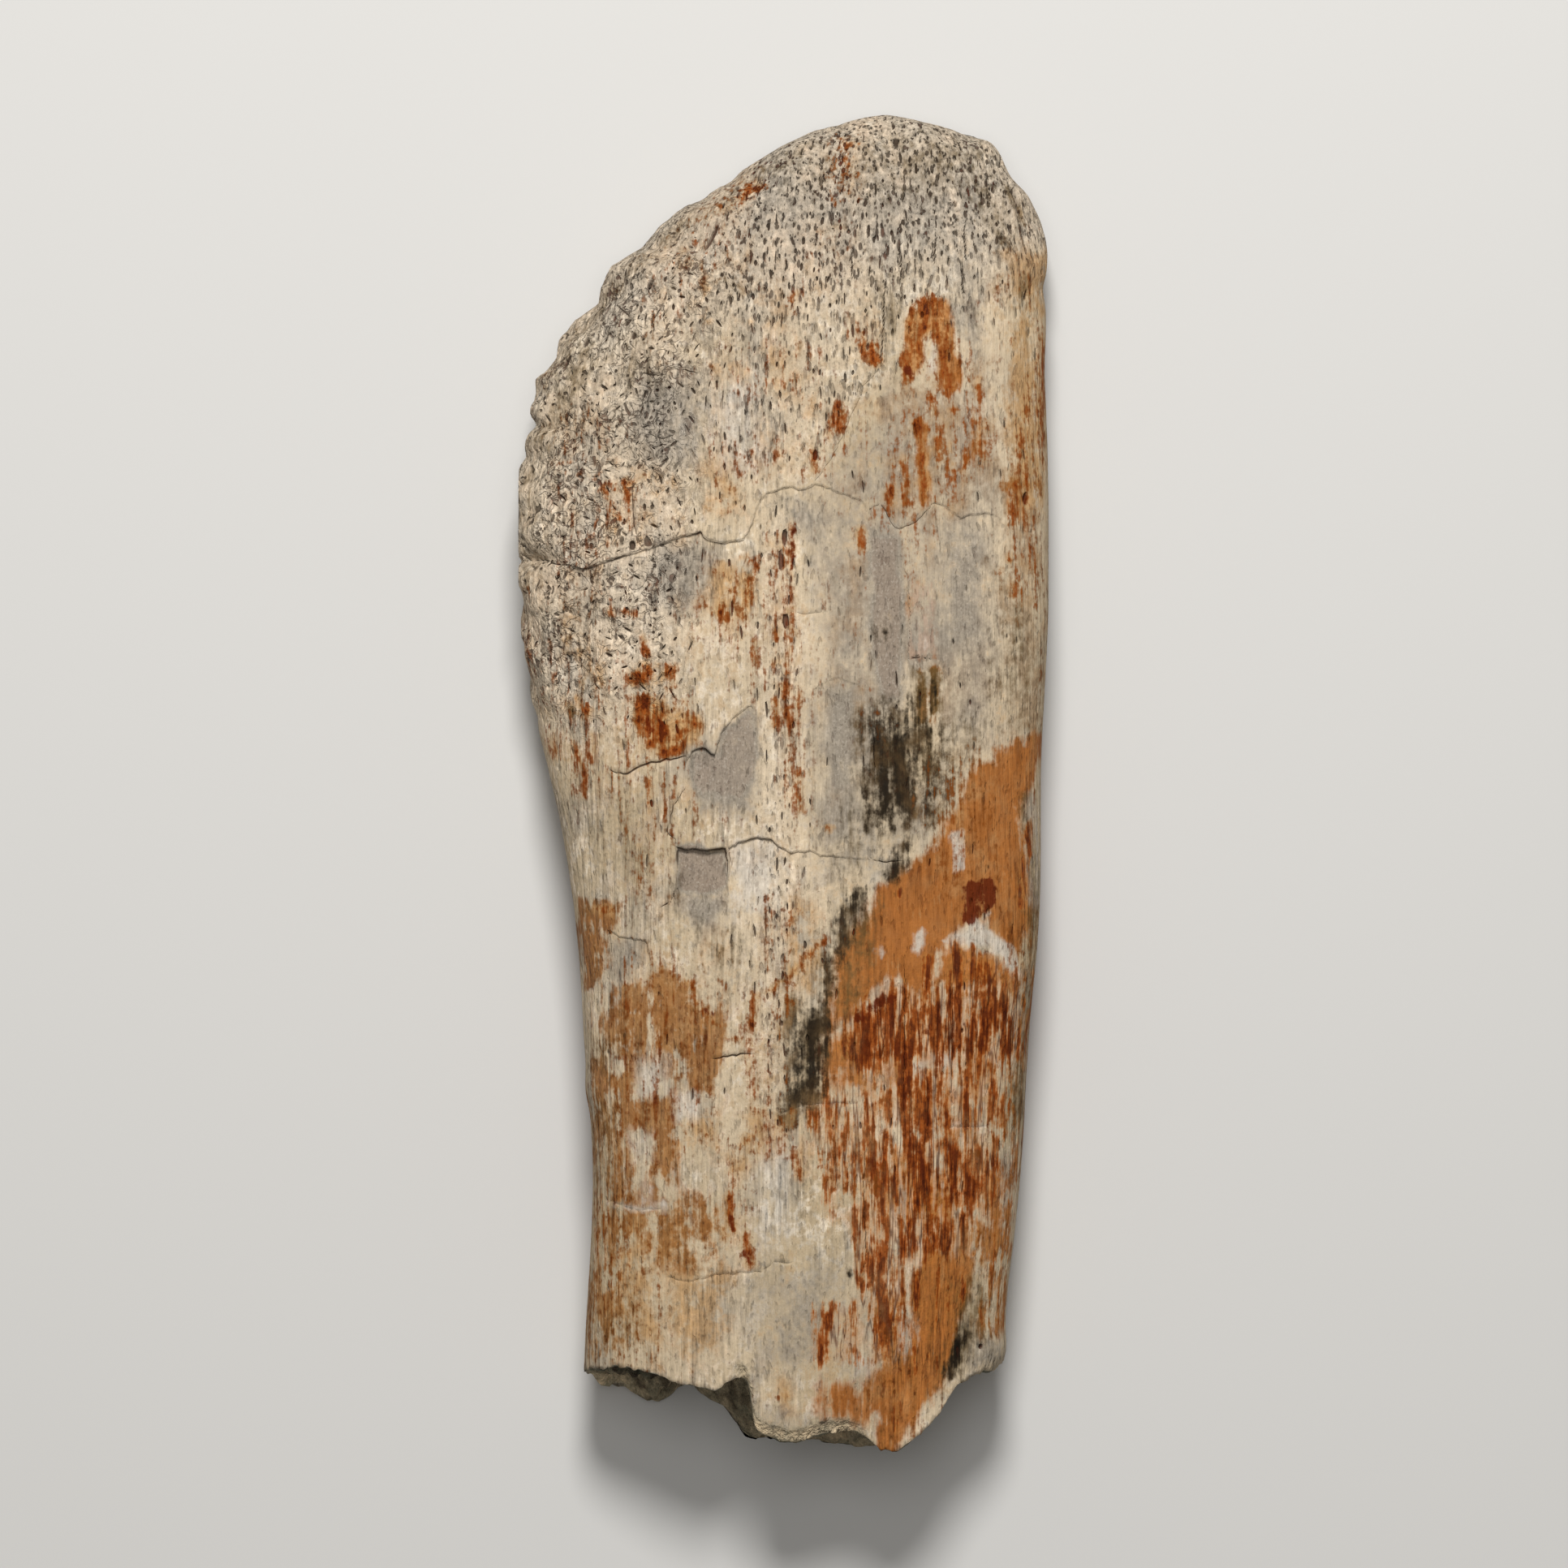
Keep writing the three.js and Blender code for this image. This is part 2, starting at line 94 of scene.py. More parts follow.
# The break: how far it reaches along the blade, at its outer and its inner wall.
BREAK_OUTER_WALL = [
    (-26, -65.3), (-22.2, -65.2), (-17.5, -65.1), (-13.9, -65.9), (-9.9, -67.2), (-7.4, -67.4),
    (-6.4, -66.5), (-5.2, -66.1), (-4.1, -66.6), (-3.7, -68.6), (-3.5, -70.4), (-2.9, -72), (-1, -73),
    (1, -73.3), (4.5, -72.3), (7.6, -72.2), (10.9, -73.9), (12.6, -74.3), (14.5, -72.9), (17.1, -70.3),
    (18.6, -68), (20.6, -66.1), (23.7, -65.4), (28, -62),
]
BREAK_INNER_WALL = [
    (-26, -65), (-22.3, -66.6), (-18.6, -68.1), (-13.9, -69.8), (-11.7, -68.2), (-9.8, -68),
    (-7.6, -69.7), (-5.5, -72.4), (-3.6, -74.1), (1.6, -74.2), (7.6, -74.9), (11, -74.8),
    (14.5, -72.9), (18.6, -68), (23, -65.4), (28, -62),
]
BREAK_LEVEL = -68  # the slice of the blade that the break's section is read from
HOLLOW_DEPTH = 6
HOLLOW_SQUARENESS = 2.6

# ---- The view from above ----
VIEW_SIZE = 1932  # its width and height, in px
MIDDLE_PX = (966, 963)  # the middle of the rib
RIB_PX = 1651  # the rib's length
PIXEL = 2 * HALF_LENGTH / RIB_PX  # at the rib's widest level
CAMERA_HEIGHT = 1200
FACE_LEVEL = 20
FACE_PIXEL = PIXEL * (CAMERA_HEIGHT - FACE_LEVEL) / (CAMERA_HEIGHT - ARCH_RISE)  # at the outer face

# ---- Relief of the outer face ----
# Flake scars. Corners: across and down in px, and depth in mm, where a depth below 0 is a faded edge.
SCARS = {
    "upper step": [
        (697, 696, 0.17), (715, 701, 0.6), (761, 687, 0.65), (791, 678, 0.55), (824, 667, 0.5),
        (863, 654, 0.6), (872, 665, 0.55), (891, 669, 0.5), (917, 664, 0.5), (924, 654, 0.39),
        (934, 623, 0.33), (945, 606, 0.33), (960, 602, 0.33), (975, 598, 0.33), (982, 604, 0.33),
        (1003, 596, 0.33), (1014, 596, 0.33), (1031, 606, 0.28), (1062, 614, 0.25), (1068, 628, 0.22),
        (1070, 660, -0.2), (1010, 700, -0.25), (955, 732, -0.25), (900, 765, -0.25), (823, 798, -0.25),
        (768, 776, -0.25), (713, 743, -0.25),
    ],
    "round scar": [
        (845, 938, 0.45), (852, 926, 0.45), (867, 920, 0.6), (880, 930, 0.65), (889, 900, 0.35),
        (910, 878, 0.3), (928, 870, 0.25), (934, 883, 0.15), (939, 922, 0.04), (934, 976, 0.02),
        (924, 998, 0), (902, 1002, -0.1), (858, 995, -0.1), (850, 972, 0.02), (843, 959, 0.15),
    ],
    "deep scar": [
        (834, 1044, 0.8), (867, 1047, 1.1), (893, 1044, 1.1), (896, 1046, 1.0), (897, 1068, 0.8),
        (896, 1100, 0.3), (890, 1128, 0.05), (884, 1148, -0.2), (862, 1156, -0.25), (846, 1130, 0),
        (828, 1109, 0.05), (834, 1080, 0.15),
    ],
    "shelf": [
        (898, 1044, 0.5), (915, 1038, 0.55), (932, 1032, 0.5), (950, 1033, 0.5), (958, 1040, 0.45),
        (973, 1050, 0.4), (999, 1047, 0.3), (1010, 1054, 0.25), (1047, 1056, 0.2), (1073, 1059, 0.1),
        (1060, 1085, -0.1), (960, 1110, -0.2), (899, 1125, -0.1),
    ],
    "long scar": [
        (1066, 700, 0.02), (1090, 676, 0.04), (1110, 690, 0.1), (1119, 715, 0.35), (1119, 811, 0.35),
        (1117, 850, 0.05), (1100, 865, -0.2), (1070, 850, -0.1), (1063, 800, 0.02), (1062, 740, 0.02),
    ],
    "grey hollow": [
        (1003, 850, 0.05), (1030, 835, 0.12), (1060, 845, 0.1), (1064, 900, 0.04), (1050, 935, -0.1),
        (1010, 940, 0), (1000, 900, 0.04),
    ],
    "right scar": [
        (1151, 619, 0.3), (1162, 621, 0.3), (1184, 637, 0.3), (1216, 630, 0.25), (1236, 640, 0.1),
        (1230, 720, -0.15), (1165, 720, -0.1), (1156, 660, 0.2),
    ],
    "lower scar": [
        (746, 1144, 0.15), (757, 1153, 0.2), (796, 1160, 0.2), (800, 1180, 0.2), (792, 1203, -0.1),
        (765, 1215, -0.15), (747, 1207, 0.15),
    ],
}

# Cracks: width and depth in mm, darkness, and route in px, across and down by turns. The darkness along
# a crack's bottom is partly painted shade.
CRACKS = [
    (0.22, 0.2, 0.5, (1068, 628, 1077, 623, 1085, 622, 1091, 628, 1101, 650, 1114, 651, 1131, 642,
                      1151, 618)),
    (0.25, 0.3, 0.7, (780, 602, 781, 645, 791, 678)),
    (0.35, 0.4, 0.9, (754, 951, 772, 954, 789, 943, 815, 937, 845, 933)),
    (0.2, 0.2, 0.6, (843, 972, 830, 993, 826, 1008, 822, 1026, 832, 1034, 834, 1044)),
    (0.35, 0.4, 0.9, (835, 1096, 826, 1109, 818, 1117)),
    (0.3, 0.45, 0.9, (1092, 347, 1088, 401, 1086, 453)),
    (0.2, 0.16, 0.4, (1086, 453, 1066, 472, 1048, 515, 1024, 566, 1004, 592)),
    (0.12, 0.1, 0.7, (1066, 1415, 1064, 1470, 1067, 1530, 1064, 1578)),
    (0.12, 0.1, 0.6, (1045, 1430, 1044, 1470)),
    (0.12, 0.1, 0.6, (1029, 1408, 1030, 1463)),
    (0.12, 0.1, 0.7, (1114, 1180, 1115, 1270, 1113, 1368)),
    (0.12, 0.1, 0.7, (1143, 1318, 1144, 1397)),
    (0.12, 0.1, 0.7, (1174, 1216, 1175, 1290, 1173, 1361)),
    (0.12, 0.1, 0.5, (1120, 715, 1121, 770, 1120, 811)),
    (0.12, 0.08, 0.4, (978, 755, 992, 757, 1008, 755)),
    (0.14, 0.12, 0.6, (1076, 895, 1078, 960)),
    (0.3, 0.35, 0.8, (756, 372, 765, 378, 776, 388)),
    (0.4, 0.5, 0.9, (800, 342, 804, 356)),
    (0.25, 0.3, 0.8, (789, 458, 800, 462, 816, 460)),
    (0.25, 0.3, 0.8, (836, 448, 846, 454, 858, 460)),
    (0.25, 0.3, 0.7, (803, 533, 815, 540, 828, 536)),
    (0.25, 0.3, 0.7, (710, 565, 714, 580)),
    (0.35, 0.45, 0.9, (882, 1304, 900, 1300, 922, 1297)),
    (0.25, 0.25, 0.7, (1121, 811, 1144, 811)),
    (0.18, 0.15, 0.3, (824, 1573, 848, 1579, 878, 1571, 939, 1565, 957, 1552, 973, 1555)),
    (0.18, 0.12, 0.0, (964, 1370, 992, 1361, 1025, 1359, 1053, 1359)),
    (0.18, 0.12, 0.0, (746, 1479, 781, 1490, 813, 1488)),
    (0.16, 0.1, 0.0, (1172, 1389, 1216, 1389)),
    # The groove by the upper right edge, whose darkness is painted shade.
    (0.9, 1.3, 1.0, (1244, 212, 1257, 238, 1264, 264)),
    (0.35, 0.5, 1.0, (1191, 269, 1190, 295, 1192, 318)),
    (0.3, 0.5, 1.0, (1152, 286, 1152, 321)),
    (0.3, 0.5, 1.0, (1110, 299, 1112, 322, 1110, 347)),
    (0.3, 0.5, 1.0, (1187, 321, 1188, 357)),
    (0.3, 0.5, 1.0, (1050, 303, 1050, 340)),
    (0.25, 0.3, 0.7, (1073, 1058, 1090, 1062, 1108, 1060)),
    # This one draws the dark line under the left end of the upper step: painted shadow.
    (0.2, 0.25, 0.8, (715, 701, 697, 696, 672, 694, 650, 688)),
    (0.3, 0.35, 0.8, (805, 381, 802, 394, 805, 405)),
    (0.3, 0.35, 0.8, (812, 380, 804, 393)),
]

# Pits that stand out: place, width and length in px, lean in degrees, depth in mm.
KNOWN_PITS = [
    (877, 286, 9, 44, 4, 1.1), (802, 349, 8, 18, 0, 0.8), (779, 410, 9, 12, 30, 0.7),
    (772, 394, 8, 12, -20, 0.7), (754, 388, 7, 12, 10, 0.6), (715, 418, 10, 14, 30, 0.7),
    (691, 440, 9, 12, 50, 0.7), (779, 672, 9, 14, 0, 0.7), (1268, 360, 8, 16, 0, 0.6),
    (1005, 560, 7, 16, 0, 0.6), (1267, 613, 10, 22, 0, 0.7), (962, 690, 6, 40, 0, 0.6),
    (968, 660, 6, 30, 0, 0.6), (969, 765, 6, 26, 0, 0.5), (803, 990, 4, 14, 0, 0.3),
    (1208, 1660, 8, 8, 0, 0.6), (1105, 167, 9, 16, 10, 0.4), (1236, 190, 10, 18, -30, 0.7),
]

# Porous bone lies above and left of this edge, and smooth bone below and right of it.
SLANTING_EDGE = ((1086, 453), (975, 598))

# Notches and hollows, and where the depth is below 0, knobs and ridges.
# Place in px, then how far each reaches across and along, and its depth, in mm.
NOTCHES = [
    (652, 521, 3.2, 0.9, 1.0), (645, 689, 2.6, 0.7, 1.1), (742, 366, 2.5, 1.2, 0.5),
    (690, 436, 2.5, 1.0, 0.5), (668, 466, 3.0, 0.8, -0.5), (640, 600, 3.0, 1.6, -0.4),
    (637, 655, 2.5, 1.6, -0.5), (760, 330, 3.0, 1.2, -0.4), (850, 262, 3.0, 1.2, -0.4),
    (915, 218, 3.0, 1.0, 0.4), (1035, 148, 3.0, 1.2, 0.35), (1190, 158, 3.0, 1.6, 0.4),
    (1245, 205, 3.0, 1.6, 0.4), (665, 880, 3.0, 1.6, 0.3), (722, 1345, 2.5, 2.0, -0.3),
    (1289, 350, 2.0, 1.4, 0.3), (800, 300, 3.0, 1.0, 0.4), (655, 560, 2.5, 0.8, 0.4),
    (643, 730, 2.0, 1.2, 0.3), (800, 505, 4.2, 6.2, 0.75), (705, 830, 2.4, 4.4, 0.6),
    (715, 740, 1.6, 2.6, 0.35), (735, 520, 1.8, 4.5, -0.35), (856, 470, 1.4, 5.0, -0.3),
    (690, 600, 3.0, 3.0, -0.3), (765, 625, 3.0, 2.4, 0.3), (900, 300, 3.4, 3.6, 0.45),
    (1015, 215, 2.6, 4.2, 0.4), (1100, 235, 2.6, 5.0, -0.3), (1165, 250, 2.0, 4.5, 0.3),
    (840, 330, 3.0, 3.0, -0.3), (760, 395, 2.4, 2.4, 0.35), (690, 470, 2.0, 3.0, 0.3),
    (1222, 1664, 2.0, 2.0, -0.5), (1193, 1640, 1.0, 5.0, 0.35), (1215, 172, 2.0, 1.2, -0.4),
]

# ---- Fineness of the skin: lengths are in mm ----
OUTLINE_SAMPLES = 1200
WALL_SAMPLES = 400
FACE_SPACING = 0.52
BACK_SPACING = 1.25
EDGE_SPACING = 0.42  # along scars and cracks
RIM_SPACING = 0.34
CORE_SPACING = 0.42
CORE_MARGIN = 0.3  # between the rim and the nearest points of the broken face
TRIANGLE_ROW = 0.866  # height of a row of equal triangles, as a share of their side
FACE_SHARE = 0.6  # how far round from the crown the fine points reach
TIP_LENGTH = 3.5  # the end of the sheet that has rows of its own

# ---- Sizes of the relief, in mm ----
CLIFF_WIDTH = 0.1  # of a scar's edge
SCAR_WOBBLE = 0.22  # how far the outlines of scars, and the routes of cracks, wander
CRACK_WOBBLE = 0.2
SCAR_REACH = 25  # no scar is wider or longer than twice this
PIT_CANDIDATES = 27000  # places where a small pit may be drawn
PIT_START = -60  # no small pits lie between here and the break
PIT_WIDTHS = (0.17, 0.3)
PIT_SWELLING = 0.12  # how much wider the widest are where the bone is most porous
PIT_LENGTHS = (0.7, 2.6)
PIT_DEPTHS = (0.25, 0.6)
LONG_PIT = 1.2  # from this length on, a pit's rim has more points
RIM_LENGTH = 170  # the way round the break, roughly
BREAK_ROUGHNESS = 0.75
RIM_RELIEF = 0.3  # the share of the relief that's left at the rim of the break
CHIP_START = (893, 925)  # where the chip on the break's lip begins and fades, across in px
CHIP_END = (1035, 1080)
CHIP_HEIGHT = 1.6
WILD_LUMPS = 0.5  # heights of the bumps on the left margin, where the bone is wild
WILD_FOLDS = 0.26
POROUS_LUMPS = 0.24
PLAIN_LUMPS = 0.03
RIPPLES = 0.07
SWELLS = 0.28
SKIN_DROP = 0.15  # how far the whole skin sinks, so that its bumps keep to the solid's size
SEED = 7


def smoothstep(value, low, high):
    share = np.clip((value - low) / (high - low), 0, 1)
    return share * share * (3 - 2 * share)


def lerp(a, b, share):
    return a + (b - a) * share


def spline(points, samples):
    """Points along the uniform Catmull-Rom spline through points."""
    points = np.asarray(points, float)
    place = np.linspace(0, len(points) - 1, samples + 1)
    first = np.minimum(place.astype(int), len(points) - 2)
    share = (place - first)[:, None]
    before = points[np.maximum(first - 1, 0)]
    start = points[first]
    end = points[first + 1]
    after = points[np.minimum(first + 2, len(points) - 1)]
    leaving = (end - before) / 2
    arriving = (after - start) / 2
    cube = (2 * start - 2 * end + leaving + arriving) * share**3
    square = (-3 * start + 3 * end - 2 * leaving - arriving) * share**2
    return cube + square + leaving * share + start


# ---- The blade's form ----
outline = spline([(x * HALF_WIDTH, y * HALF_LENGTH) for x, y in OUTLINE], OUTLINE_SAMPLES)
tip_index = int(np.argmax(outline[:, 1]))
TIP = outline[tip_index]
START = outline[0, 1]
left_side = outline[: tip_index + 1]
right_side = outline[tip_index:][::-1]
outer_wall = spline(BREAK_OUTER_WALL, WALL_SAMPLES)
inner_wall = spline(BREAK_INNER_WALL, WALL_SAMPLES)


def left_edge(along):
    return np.interp(along, left_side[:, 1], left_side[:, 0])


def right_edge(along):
    return np.interp(along, right_side[:, 1], right_side[:, 0])


def thickness(along):
    """Thickness along the blade, which rounds off to nothing at the far tip."""
    along_share = np.clip((along + HALF_LENGTH) / (2 * HALF_LENGTH), 0, 1)
    blade = lerp(THICK_AT_BREAK, THICK_AT_FAR_END, along_share)
    share = np.clip((along - (TIP[1] - TIP_ROUNDING)) / TIP_ROUNDING, 0, 1)
    return blade * (1 - share**TIP_BLUNTNESS) ** (1 / TIP_FULLNESS)


def mid_level(along):
    """Height of the widest level, which arches along the blade."""
    return ARCH_RISE - ARCH_SLOPE * along - ARCH_BEND * along**2


def porosity(x, y):
    """How porous the bone is: 0 on the smooth shaft, 1 at the far end and along the left margin."""
    far_end = smoothstep(y - 0.25 * x, 32, 58)
    margin = smoothstep(-x + 0.25 * y, 17, 27) * smoothstep(y, 0, 14)
    return np.maximum(far_end, margin)


def swell(x, y, z):
    """Slow swells of the surface, with lumps where the bone is porous."""
    slow = np.sin(0.13 * x + 0.07 * y + 1.3) * np.sin(0.11 * y - 0.09 * x + 0.2 * z)
    lumps = np.sin(0.55 * x + 0.3 * y + 2) * np.sin(0.42 * y - 0.2 * x + 0.5 * z + 0.7)
    return SWELL_HEIGHT * slow + LUMP_HEIGHT * porosity(x, y) * lumps


def skin(along, angle):
    """Points of the blade's skin: along it, and round it from the right edge over the outer face."""
    left = left_edge(along)
    right = right_edge(along)
    above = np.sin(angle) >= 0
    power = 2 / np.where(above, FACE_SQUARENESS, BACK_SQUARENESS)
    across = np.sign(np.cos(angle)) * np.abs(np.cos(angle)) ** power
    up = np.sign(np.sin(angle)) * np.abs(np.sin(angle)) ** power
    reach = thickness(along) * np.where(above, 1 - SHARE_BELOW, SHARE_BELOW)
    lean = np.where(above, 1 - CROWN_LEAN * across, 1 - GROOVE_SHARE * np.cos(3 * across))
    x = (left + right) / 2 + across * (right - left) / 2
    z = mid_level(along) + up * reach * lean
    out_x = across**3 * 0.8
    size = np.maximum(np.hypot(out_x, up), 1e-9)
    bulge = smoothstep(right - left, 2, 14) * swell(x, along, z)
    return np.stack([x + out_x / size * bulge, along + 0 * x, z + up / size * bulge], axis=-1)


def layered_noise(places, sizes, stretch=1.0, seed=0.0):
    """Noise from about -1 to 1: each (size, share) adds a layer, stretched along the blade."""
    result = np.zeros(len(places))
    for size, share in sizes:
        scaled = places / (size, size * stretch, size) + seed
        result += share * np.array([noise.noise(Vector(p)) for p in scaled])
    return result


def break_at(x, z):
    """How far the break reaches along the blade at a place of its cross-section."""
    left = left_edge(BREAK_LEVEL)
    right = right_edge(BREAK_LEVEL)
    across = (2 * x - left - right) / (right - left)
    share = np.where(z > mid_level(BREAK_LEVEL), 1 - SHARE_BELOW, SHARE_BELOW)
    up = (z - mid_level(BREAK_LEVEL)) / (thickness(BREAK_LEVEL) * share)
    outwards = np.abs(across) ** HOLLOW_SQUARENESS + np.abs(up) ** HOLLOW_SQUARENESS
    outwards = outwards ** (1 / HOLLOW_SQUARENESS)
    inner = np.interp(x, inner_wall[:, 0], inner_wall[:, 1])
    outer = np.interp(x, outer_wall[:, 0], outer_wall[:, 1])
    walls = lerp(inner, outer, smoothstep(up, -0.75, 0.75))
    core = 1 - smoothstep(outwards, CORE_SHARE, WALL_SHARE)
    lumps = 0.72 + 0.28 * np.sin(0.62 * x + 1.1) * np.cos(0.75 * z + 0.4 * x)
    return walls + HOLLOW_DEPTH * core * lumps * lerp(1, 0.6, smoothstep(x, 0, 14))


# ---- The unrolled skin: across it from the crown of the outer face, and along it, both in mm ----
class Sheet:
    """The blade's skin laid flat, cut open along the middle of its back."""

    ROWS = 420
    TURNS = 400
    FINE_ROWS = 6000
    GRAIN_STEP = 0.05  # how far apart the places are that the grain's lean is measured between

    def __init__(self):
        fine_y = np.linspace(START, TIP[1], self.FINE_ROWS)
        rise = thickness(fine_y) * 0.5
        steps = np.hypot(np.diff(fine_y), np.diff(rise))
        self.fine_y = fine_y
        self.fine_along = np.concatenate([[0], np.cumsum(steps)])
        self.length = self.fine_along[-1]
        self.row_along = np.linspace(0, self.length, self.ROWS)
        row_y = np.interp(self.row_along, self.fine_along, self.fine_y)
        self.turns = {}
        self.arcs = {}
        self.reach = {}
        for side, end in ((1, -math.pi / 2), (-1, 3 * math.pi / 2)):
            turns = np.linspace(math.pi / 2, end, self.TURNS)
            points = skin(row_y[:, None], turns[None, :])
            steps = np.linalg.norm(np.diff(points, axis=1), axis=2)
            arcs = np.concatenate([np.zeros((self.ROWS, 1)), np.cumsum(steps, axis=1)], axis=1)
            self.turns[side] = turns
            self.reach[side] = np.maximum(arcs[:, -1], 1e-6)
            self.arcs[side] = arcs / self.reach[side][:, None]
        shares = np.linspace(0, 1, self.TURNS)
        self.angles = {
            side: np.stack([np.interp(shares, row, self.turns[side]) for row in self.arcs[side]])
            for side in (1, -1)
        }

    def reach_at(self, along, side):
        """How far the sheet reaches from the crown, to the right with side 1, to the left with -1."""
        return np.interp(along, self.row_along, self.reach[side])

    def nearest_reach(self, across, along):
        """How far the sheet reaches on the side that a place is on."""
        return np.where(across >= 0, self.reach_at(along, 1), self.reach_at(along, -1))

    def y_at(self, along):
        return np.interp(along, self.fine_along, self.fine_y)

    def along_at(self, y):
        return np.interp(y, self.fine_y, self.fine_along)

    def _look_up(self, table, along, share):
        row = np.clip(along / self.length, 0, 1) * (self.ROWS - 1)
        column = np.clip(share, 0, 1) * (self.TURNS - 1)
        i = np.minimum(row.astype(int), self.ROWS - 2)
        j = np.minimum(column.astype(int), self.TURNS - 2)
        a = row - i
        b = column - j
        upper = table[i, j] * (1 - b) + table[i, j + 1] * b
        lower = table[i + 1, j] * (1 - b) + table[i + 1, j + 1] * b
        return upper * (1 - a) + lower * a

    def turn_at(self, across, along):
        """The angle round the blade, and the share of the way from the crown to the back's middle."""
        share = np.clip(np.abs(across) / self.nearest_reach(across, along), 0, 1)
        on_right, on_left = (self._look_up(self.angles[side], along, share) for side in (1, -1))
        return np.where(across >= 0, on_right, on_left), share

    def rolled(self, across, along):
        """Where a place of the sheet lies on the blade."""
        turn, share = self.turn_at(across, along)
        return skin(self.y_at(along), turn), share

    def grain_lean(self, across, along):
        """The angle on the sheet between its long side and the blade's own length."""
        step = self.GRAIN_STEP
        place, _ = self.rolled(across, along)
        over = (self.rolled(across + step, along)[0] - place) / step
        ahead = (self.rolled(across, along + step)[0] - place) / step
        return np.arctan2((over * ahead).sum(axis=1), (over * over).sum(axis=1))

    def unrolled(self, x, y):
        """The place on the sheet of a point of the outer face seen from above."""
        x = np.asarray(x, float)
        y = np.clip(np.asarray(y, float), START + 1, TIP[1] - 0.3)
        left = left_edge(y)
        right = right_edge(y)
        across = np.clip((2 * x - left - right) / (right - left), -0.995, 0.995)
        turn = np.arccos(np.sign(across) * np.abs(across) ** (FACE_SQUARENESS / 2))
        along = self.along_at(y)
        side = turn <= math.pi / 2
        share = np.abs(turn - math.pi / 2) / math.pi
        arc_right = self._look_up(self.arcs[1], along, share) * self.reach_at(along, 1)
        arc_left = self._look_up(self.arcs[-1], along, share) * self.reach_at(along, -1)
        return np.where(side, arc_right, -arc_left), along


sheet = Sheet()


def face_mm(px, py):
    """A place of the view from above, in mm on the outer face."""
    middle_x, middle_y = MIDDLE_PX
    x = (np.asarray(px, float) - middle_x) * FACE_PIXEL
    y = (middle_y - np.asarray(py, float)) * FACE_PIXEL
    return x, y


def face_px(x, y):
    """A place of the outer face, in px of the view from above."""
    return x / FACE_PIXEL + MIDDLE_PX[0], MIDDLE_PX[1] - y / FACE_PIXEL


def in_pairs(numbers):
    """Places whose two coordinates follow each other by turns."""
    return np.reshape(numbers, (-1, 2)).astype(float)


def inside(x, y, polygon):
    """Which places lie in a closed polygon."""
    result = np.zeros(len(x), bool)
    for (x1, y1), (x2, y2) in zip(polygon, np.roll(polygon, -1, axis=0)):
        crosses = (y1 > y) != (y2 > y)
        if y1 != y2:
            result ^= crosses & (x < (x2 - x1) * (y - y1) / (y2 - y1) + x1)
    return result


def wander(x, y, slow_level, quick_level):
    """Noise of two sizes at a place, each read at a level of its own."""
    slow = noise.noise(Vector((x * 0.9, y * 0.9, slow_level)))
    quick = noise.noise(Vector((x * 2.3, y * 2.3, quick_level)))
    return slow + 0.6 * quick


def resampled(route, spacing, wobble, closed=False):
    """Evenly spaced points along a route, in mm, that wander a little from it."""
    route = np.asarray(route, float)
    if closed:
        route = np.vstack([route, route[:1]])
    steps = np.hypot(*np.diff(route, axis=0).T)
    arc = np.concatenate([[0], np.cumsum(steps)])
    count = max(int(arc[-1] / spacing), 2)
    places = np.linspace(0, arc[-1], count + 1)
    points = np.stack([np.interp(places, arc, route[:, k]) for k in (0, 1)], axis=1)
    for k, (x, y) in enumerate(points):
        points[k] += (wobble * wander(x, y, 3.1, 8.7), wobble * wander(x, y, 21.4, 33.3))
    return points[:-1] if closed else points


def sideways(points, closed=False):
    """Unit vectors to the left of a route at each of its points."""
    if closed:
        heading = np.roll(points, -1, axis=0) - np.roll(points, 1, axis=0)
    else:
        heading = np.gradient(points, axis=0)
    heading /= np.maximum(np.hypot(*heading.T), 1e-9)[:, None]
    return np.stack([-heading[:, 1], heading[:, 0]], axis=1)


# ---- Scars ----
class Scar:
    """Where a flake has come off: a ragged outline and a depth that varies over it."""

    def __init__(self, corners):
        x, y = face_mm([c[0] for c in corners], [c[1] for c in corners])
        self.corners = np.stack([x, y], axis=1)
        self.depths = np.array([c[2] for c in corners], float)
        self.edge = resampled(self.corners, EDGE_SPACING, SCAR_WOBBLE, closed=True)

    def depth(self, x, y):
        """The depth that the nearest corners give a place, never below 0."""
        gap = np.hypot(x[:, None] - self.corners[:, 0], y[:, None] - self.corners[:, 1])
        weight = 1 / (gap**2.5 + 0.05)
        return np.maximum((weight * self.depths).sum(axis=1) / weight.sum(axis=1), 0)

    def cut(self, x, y):
        """How deep the scar is at each place."""
        result = np.zeros(len(x))
        middle_x, middle_y = self.corners.mean(axis=0)
        close = (np.abs(x - middle_x) < SCAR_REACH) & (np.abs(y - middle_y) < SCAR_REACH)
        index = np.flatnonzero(close)
        index = index[inside(x[index], y[index], self.edge)]
        result[index] = self.depth(x[index], y[index])
        return result


scars = [Scar(corners) for corners in SCARS.values()]


